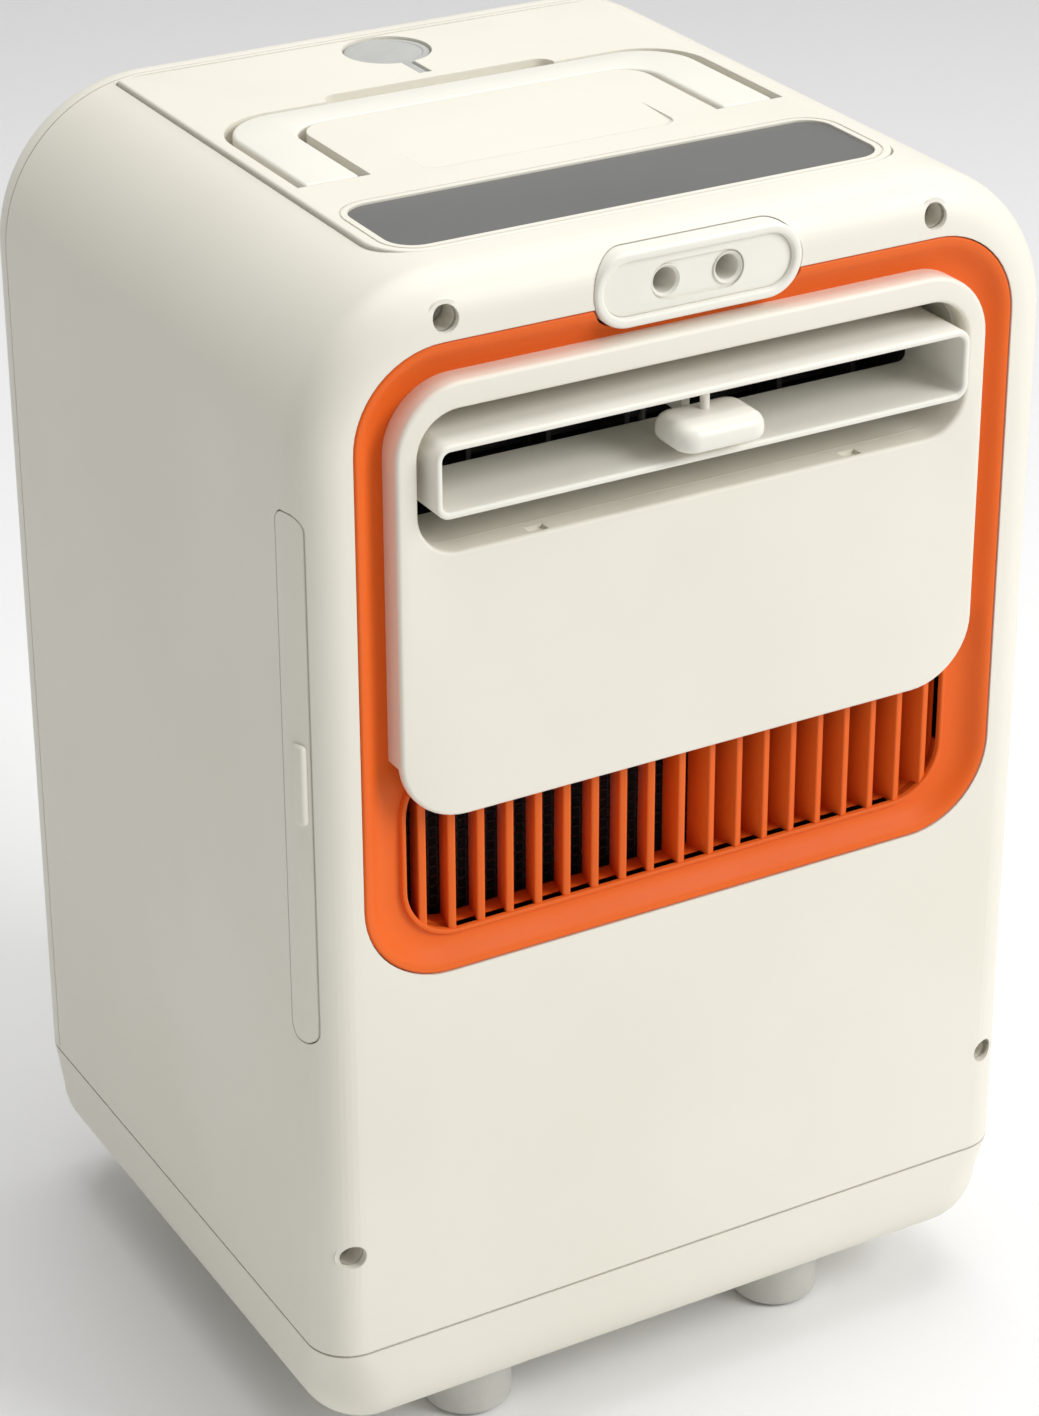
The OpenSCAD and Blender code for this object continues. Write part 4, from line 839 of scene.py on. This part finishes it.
# %% Intake vanes
VANE_PITCH, VANE_T, VANES = 9.64, 2.5, 9
vanes = repeated("intake_vanes", 2 * VANES + 1, (-VANES * VANE_PITCH, depth((4.1 + THROAT_D) / 2), lip_z),
                 (VANE_PITCH, 0, 0), (VANE_T, THROAT_D - 4.2, lip_h + 1.4), math.radians(13))
soften = vanes.modifiers.new("soften", "BEVEL")
soften.width, soften.segments, soften.limit_method = 0.5 * MM, 3, "ANGLE"
plain_mesh(vanes)
window = facing_slab("vane_window", GRILLE_W + 1.2, lip_h + 1.2, GRILLE_R + 0.6, lip_z, 3.8,
                     THROAT_D - 0.05, 0.01, steps=12)
carve(vanes, [window], "INTERSECT")
done(vanes, "case", orange)

# %% [markdown]
# ## The raised front panel
# A thin plate stands proud of the case on side and top walls, open below so that air
# can reach the intake. Its outlet mouth has a soft rolled edge and two small catches
# in the lower lip.

# %% Front panel
PLATE_T, ROLL = 2.5, 1.3
plate_back = PANEL_D + PLATE_T
panel_edge, mouth_edge = (PANEL_W, PANEL_H, PANEL_R, PANEL_Z), (MOUTH_W, MOUTH_H, MOUTH_R, MOUTH_Z)


def grown(edge, by):
    """A (width, height, radius, z) edge pushed outwards by some millimetres."""
    width, height, radius, z = edge
    return width + 2 * by, height + 2 * by, radius + by, z


loops = [(*panel_edge, FLOOR_D)]
loops += [(*grown(panel_edge, -inset), PANEL_D + rise) for inset, rise in quarter(ROLL)]
loops += [(*grown(mouth_edge, inset), PANEL_D + rise) for inset, rise in reversed(quarter(ROLL))]
loops += [(*mouth_edge, FLOOR_D), (*grown(mouth_edge, 2), FLOOR_D), (*grown(mouth_edge, 2), plate_back),
          (*grown(panel_edge, -PLATE_T), plate_back), (*grown(panel_edge, -PLATE_T), FLOOR_D)]
panel = loft("panel_skin", [facing_ring(w, h, r, z, d, steps=12) for w, h, r, z, d in loops], closed=True)
carve(panel, [block("open_below", (-150, depth(plate_back), 100), (150, depth(20), GRILLE_HIGH + 2.8))])
for x in (-52.5, 52.5):
    carve(panel, [block("catch", (x - 3, depth(PANEL_D + 1.4), MOUTH_Z - MOUTH_H / 2 - 1.2),
                        (x + 3, depth(1.6), MOUTH_Z - MOUTH_H / 2 + 4))])
liner = loft("mouth_liner", [facing_ring(w, h, r, MOUTH_Z, d, steps=12) for w, h, r, d in (
    (MOUTH_W - 0.1, MOUTH_H, MOUTH_R, FLOOR_D - 1),
    (MOUTH_W - 0.9, MOUTH_H - 0.1, MOUTH_R - 0.4, FLOOR_D - 1),
    (MOUTH_W - 0.9, MOUTH_H - 0.1, MOUTH_R - 0.4, 24), (MOUTH_W - 0.1, MOUTH_H + 1.4, MOUTH_R, 24),
    (MOUTH_W - 0.1, MOUTH_H + 1.4, MOUTH_R, FLOOR_D + 2.6))], closed=True)
join(panel, [liner])
done(panel, "case", ivory, "front_panel")

# %% [markdown]
# ## The tilting outlet and its thumb tab
# A shallow rectangular tube swings on two pins. A thick soft-edged tab hangs on a thin
# post in its middle: pushed up or down it tilts the tube, pushed sideways it turns the
# guide blades through the fork on its tail.

# %% Outlet frame
FRAME_T = 2.1
louvre = facing_frame("louvre_skin", (FRAME_W, FRAME_H, 4.5),
                      (FRAME_W - 2 * FRAME_T, FRAME_H - 2 * FRAME_T, 2.5), FRAME_Z,
                      louvre_low[1] - FRONT, louvre_high[1] - FRONT, 0.9, steps=8)
pivot_y = louvre_high[1] - 5
pins = [turned("pin", [(2, side * (FRAME_W / 2 - 1)), (2, side * (MOUTH_W / 2 + 2))],
               (0, pivot_y, FRAME_Z), "x", 24) for side in (-1, 1)]
join(louvre, pins)
done(louvre, "louvre", ivory_smooth, "outlet_frame")

# %% Thumb tab
tab_low, tab_high = (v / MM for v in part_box("thumb_tab"))
POST_D = -4.0
TAB_Z = FRAME_Z - 1
TAB_W, TAB_L = tab_high[0] - tab_low[0], 20.4
pillow = [(3.2, -4.0), (1.9, -3.9), (0.9, -3.4), (0.25, -2.6), (0.0, -1.6), (0.05, 0.2), (0.4, 1.5),
          (1.1, 2.6), (2.1, 3.4), (3.2, 3.85), (4.4, 4.0)]
tab_middle = tab_low[1] + TAB_L / 2
tab = loft("tab_skin", [flat_ring(TAB_W - 2 * i, TAB_L - 2 * i, max(6.0 - i, 1.5), tab_middle, TAB_Z + z)
                        for i, z in pillow])
post = turned("post", [(1.4, -FRAME_H / 2 + 0.4), (1.4, FRAME_H / 2 - 0.4)],
              (0, depth(POST_D), FRAME_Z), "z", 24)
tail = [block("tail", (-1.4, depth(6), FRAME_Z - 2.5), (1.4, depth(22.4), FRAME_Z + 2.5), 0.3),
        block("yoke", (-3.4, depth(22), FRAME_Z - 2.5), (3.4, depth(25.4), FRAME_Z + 2.5), 0.3)]
PRONG_X, PRONG_HALF = 2.75, 0.65
tail += [block("prong", (side * PRONG_X - PRONG_HALF, depth(25), FRAME_Z - 2.5),
               (side * PRONG_X + PRONG_HALF, depth(36), FRAME_Z + 2.5), 0.3) for side in (-1, 1)]
join(tab, [post] + tail)
done(tab, "tab", ivory_smooth, "thumb_tab")

# %% [markdown]
# ## The mist head
# A pill-shaped rim stands clear of the rolled top edge and throws a small shadow on
# the surround. Inside it a plate carries a shallow pill and two deep round mouths, each
# with a light chamfer.

# %% Mist head
rim = facing_frame("rim_skin", (BOSS_W - 0.4, BOSS_H - 0.4, BOSS_H / 2 - 0.2), (BOSS_W - 6.6, BOSS_H - 6.6,
                   BOSS_H / 2 - 3.3), BOSS_Z, rim_low[1] - FRONT, 8.5, 1.2, steps=20)
done(rim, "case", ivory_smooth, "nozzle_rim")
plate = facing_slab("mist_plate", BOSS_W - 6.7, BOSS_H - 6.7, BOSS_H / 2 - 3.35, BOSS_Z, 0.8, 8.4, 0.2,
                    steps=20)
carve(plate, [facing_slab("dimple", 30.4, 11.4, 5.7, BOSS_Z, -2, 1.7, 0.01, steps=16)])
MIST_X, MIST_R = 10.2, 4.85
for x in (-MIST_X, MIST_X):
    carve(plate, [turned("mist_cut", [(MIST_R, -4), (MIST_R, 10)], (x, FRONT, BOSS_Z), "y", 40)])
done(plate, "case", ivory_smooth, "nozzle_plate")
tube_profile = [(4.85, 11.9), (4.85, 1.5), (4.75, 1.2), (4.5, 1.15), (3.75, 2.0), (3.75, 11.9)]
tubes = [turned("mist_tube", tube_profile, (x, FRONT, BOSS_Z), "y", 40, closed=True)
         for x in (-MIST_X, MIST_X)]
done(join(tubes[0], tubes[1:]), "case", ivory_smooth, "mist_tubes")

# %% [markdown]
# ## The top panel
# A flat plate whose edges stand a little above the falling shoulders. The handle lies
# in a well with a gap beside each arm, a shallow groove runs round the touch strip, and
# a wedge between the arms dips towards the front for a fingertip.

# %% Handle outline
HANDLE_X, ARM_W, BAR_W = 79.0, 17.4, 14.0
HANDLE_FRONT, HANDLE_BACK = 85.5, 148.5


def handle_loop(grow, reach):
    """The U of the handle, grown sideways by grow and at its ends by reach."""
    outer, inner = HANDLE_X + grow, HANDLE_X - ARM_W - grow
    back, front, bar = HANDLE_BACK + reach, HANDLE_FRONT - reach, HANDLE_BACK - BAR_W - reach
    big, small, n = 19.0 + (grow + reach) / 2, 12.0 - (grow + reach) / 2, 12
    points = [(-inner, front), (-outer, front)]
    points += [(-(outer - big) - big * math.cos(a), back - big + big * math.sin(a))
               for a in (math.pi / 2 * i / n for i in range(n + 1))]
    points += [(outer - big + big * math.sin(a), back - big + big * math.cos(a))
               for a in (math.pi / 2 * i / n for i in range(n + 1))]
    points += [(outer, front), (inner, front)]
    points += [(inner - small + small * math.cos(a), bar - small + small * math.sin(a))
               for a in (math.pi / 2 * i / n for i in range(n + 1))]
    points += [(-(inner - small) - small * math.sin(a), bar - small + small * math.cos(a))
               for a in (math.pi / 2 * i / n for i in range(n + 1))]
    return points


def handle_prism(name, grow, reach, z0, z1):
    return loft(name, [[(x, depth(d), z) for x, d in handle_loop(grow, reach)] for z in (z0, z1)])


print("handle outline", len(handle_loop(0, 0)), "points")

# %% Top panel
WELL = TOP - 8
lens_y = (lens_low[1] + lens_high[1]) / 2
lens_w, lens_l = lens_high[0] - lens_low[0], lens_high[1] - lens_low[1]
finger_y = depth(HANDLE_BACK + 1.5)
top = flat_slab("top_skin", TOP_W, TOP_LEN, TOP_CORNERS, TOP_MID, TOP_SEAT, TOP, 0.7, steps=12)
well = handle_prism("well", 4.4, 1.6, WELL - 2, TOP_SEAT + 0.5)
carve(top, [well], "UNION")
carve(top, [flat_slab("finger_well", 82, 13, 6, finger_y, WELL - 2, TOP_SEAT + 0.5, 0.01)], "UNION")
carve(top, [
    handle_prism("handle_room", 3.0, 1.0, WELL, TOP + 5),
    flat_slab("finger_room", 79, 10, 4.9, finger_y, WELL, TOP + 5, 0.01),
    flat_slab("lens_room", lens_w + 0.4, lens_l + 0.4, 9, lens_y, TOP - 1.7, TOP + 5, 0.01),
    flat_slab("lens_hole", lens_w - 30, lens_l - 16, 3, lens_y, TOP - 12, TOP + 5, 0.01),
    turned("plug_seat", [(PLUG_R + 0.6, -2.4), (PLUG_R + 0.6, 5)], (0, PLUG_Y, TOP), "z", 56),
    turned("filler_hole", [(PLUG_R - 2.6, -14), (PLUG_R - 2.6, 5)], (0, PLUG_Y, TOP), "z", 48),
    block("strap_groove", (-2.2, PLUG_Y - 26, TOP - 2.4), (2.2, PLUG_Y, TOP + 5)),
])
groove_section = [(4.4, TOP - 0.35), (4.2, TOP + 3), (5.6, TOP + 3), (5.4, TOP - 0.35)]
groove = loft("lens_groove", [flat_ring(lens_w + g, lens_l + g, 9 + g / 2, lens_y, z)
                              for g, z in groove_section], closed=True)
pad_front, pad_back = 80.0, 103.0
PAD_W, PAD_DIP = 85.0, 0.8
pad_upper = flat_ring(PAD_W, pad_back - pad_front, (5.0, 1.0, 1.0, 5.0),
                      depth((pad_front + pad_back) / 2), TOP + 3)
pad_fall = PAD_DIP / (pad_back - pad_front - 1)
pad_lower = [(x, y, TOP - PAD_DIP + pad_fall * (y - depth(pad_front))) for x, y, z in pad_upper]
carve(top, [groove, loft("pad_cut", [pad_lower, pad_upper])])
done(top, "case", ivory, "top_panel")

# %% Handle
handle = handle_prism("handle_skin", 0, 0, handle_low[2], handle_high[2])
soft_edge = handle.modifiers.new("soft", "BEVEL")
soft_edge.width, soft_edge.segments, soft_edge.limit_method, soft_edge.angle_limit = 1.1 * MM, 4, "ANGLE", 0.9
plain_mesh(handle)
done(handle, "carry_handle", ivory_smooth, "handle")
lens = flat_slab("touch_strip", lens_w, lens_l, 8.8, lens_y, lens_low[2], lens_high[2], 0.3)
done(lens, "case", lens_plastic, "display_lens")

# %% Filler plug
plug_top = plug_high[2]
plug_profile = [(0.01, -4.6), (PLUG_R - 4.2, -4.6), (PLUG_R - 3.6, -4.0), (PLUG_R - 3.6, -1.8),
                (PLUG_R, -1.8), (PLUG_R, -0.5), (PLUG_R - 0.15, -0.15), (PLUG_R - 0.6, 0.0),
                (PLUG_R - 2.0, 0.0), (PLUG_R - 2.3, -0.25), (0.01, -0.25)]
plug = turned("plug_skin", plug_profile, (0, PLUG_Y, plug_top), "z", 64)
strap = block("strap", (-1.7, plug_low[1] + 0.9, plug_top - 1.8), (1.7, PLUG_Y - PLUG_R + 1, plug_top), 0.4)
knuckle = turned("knuckle", [(0.9, -1.7), (0.9, 1.7)], (0, plug_low[1] + 0.9, plug_top - 0.9), "x", 24)
join(plug, [strap, knuckle])
done(plug, "plug", grey_rubber, "filler_plug")

# %% [markdown]
# ## The filter's end strip
# The strip is the same shell wall that the slot removed, less a fine gap, so the case's
# surface runs on across it. Behind it the filter's frame slides out to the left.

# %% Filter strip and frame
strip = hollow_case("filter_skin", SEAM)
carve(strip, [strip_prism("strip_window", 0.4, 4.5)], "INTERSECT")
filter_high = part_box("filter_frame")[1] / MM
mesh_low, mesh_high = (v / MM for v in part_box("filter_mesh"))
RIM = 6.0
f_low, f_high = mesh_low[2] - RIM, mesh_high[2] + RIM
f_left, f_right = mesh_low[0] - RIM, mesh_high[0] + RIM
f_front, f_back = depth(14.1), filter_high[1]
bars = [block("bar", (f_left, f_front, z), (f_right, f_back, z + RIM), 0.4) for z in (f_low, f_high - RIM)]
bars += [block("bar", (x, f_front, f_low + RIM - 0.5), (x + RIM, f_back, f_high - RIM + 0.5), 0.4)
         for x in (f_left, f_right - RIM)]
bars.append(block("neck", (-HALF_W + 1.3, f_front, f_low + 8), (f_left + 1, f_back, f_high - 8)))
grip = block("grip", (-EDGE_R - 1.6, -2.4, STRIP_LOW + 73.5), (-EDGE_R + 1.4, 2.4, STRIP_LOW + 99), 1.4, 5)
grip.data.transform(Matrix.Translation(((-HALF_W + EDGE_R) * MM, depth(EDGE_R) * MM, 0))
                    @ Matrix.Rotation(math.radians(24), 4, "Z"))
join(strip, bars + [grip])
done(strip, "filter", ivory, "filter_frame")

# %% Filter mesh
WIRE, CELL = 0.5, 3.2
mesh_y = (mesh_low[1] + mesh_high[1]) / 2
wide, tall = mesh_high[0] - mesh_low[0], mesh_high[2] - mesh_low[2]
columns, rows = int(wide / CELL), int(tall / CELL)
upright = repeated("filter_wires", columns, (mesh_low[0] + 1, mesh_y, (mesh_low[2] + mesh_high[2]) / 2),
                   ((wide - 2) / (columns - 1), 0, 0), (WIRE, WIRE, tall))
across = repeated("across", rows, ((mesh_low[0] + mesh_high[0]) / 2, mesh_y, mesh_low[2] + 1),
                  (0, 0, (tall - 2) / (rows - 1)), (wide, WIRE, WIRE))
join(upright, [across])
done(upright, "filter", mesh_black, "filter_mesh")

# %% [markdown]
# ## Floor and light
# A pale sheet curves up behind the object as paper does in a studio. One large soft
# light stands to the right and in front, a weaker one hangs nearly straight above, and
# the sky is nearly white.

# %% Studio
def paper_sheet():
    bm = bmesh.new()
    path = [(-14.0, 0.0), (2.2, 0.0)] + [(2.2 + 1.2 * math.sin(a), 1.2 - 1.2 * math.cos(a)) for a in
                                        (math.pi / 2 * i / 16 for i in range(1, 17))] + [(3.4, 5.0)]
    rows = [[bm.verts.new((x, y, z - 0.0005)) for x in (-12, 12)] for y, z in path]
    for a, b in zip(rows, rows[1:]):
        bm.faces.new((a[0], a[1], b[1], b[0]))
    mesh = bpy.data.meshes.new("paper_floor")
    bm.to_mesh(mesh)
    bm.free()
    for polygon in mesh.polygons:
        polygon.use_smooth = True
    floor = bpy.data.objects.new("paper_floor", mesh)
    bpy.context.scene.collection.objects.link(floor)
    paper = Finish("studio_paper", specular_ior_level=0.1)
    fibre = paper.noise(900, 3)
    paper.feed("Base Color", paper.colours(fibre, (0.93, 0.93, 0.93), (0.95, 0.95, 0.95)))
    paper.feed("Roughness", 0.85 + fibre * 0.1)
    floor.data.materials.append(paper.material)
    return floor


def soft_light(name, place, target, size, power, colour=(1, 1, 1)):
    data = bpy.data.lights.new(name, "AREA")
    data.shape, data.size, data.energy, data.color = "SQUARE", size, power, colour
    lamp = bpy.data.objects.new(name, data)
    lamp.location = place
    lamp.rotation_mode = "QUATERNION"
    lamp.rotation_quaternion = (Vector(target) - Vector(place)).to_track_quat("-Z", "Y")
    bpy.context.scene.collection.objects.link(lamp)


floor = paper_sheet()
soft_light("key_right_front", (1.3, -1.5, 1.5), (0, 0, 0.2), 1.2, 32.5)
soft_light("top_soft", (0.1, 0.1, 1.9), (0, 0, 0.3), 1.4, 17.8)
world = bpy.data.worlds.new("white_room")
bpy.context.scene.world = world
world.use_nodes = True
background = next(n for n in world.node_tree.nodes if n.type == "BACKGROUND")
background.inputs["Color"].default_value = (1.0, 1.0, 1.0, 1)
background.inputs["Strength"].default_value = 0.35
bpy.context.scene.view_settings.view_transform = "Standard"
print("studio ready")
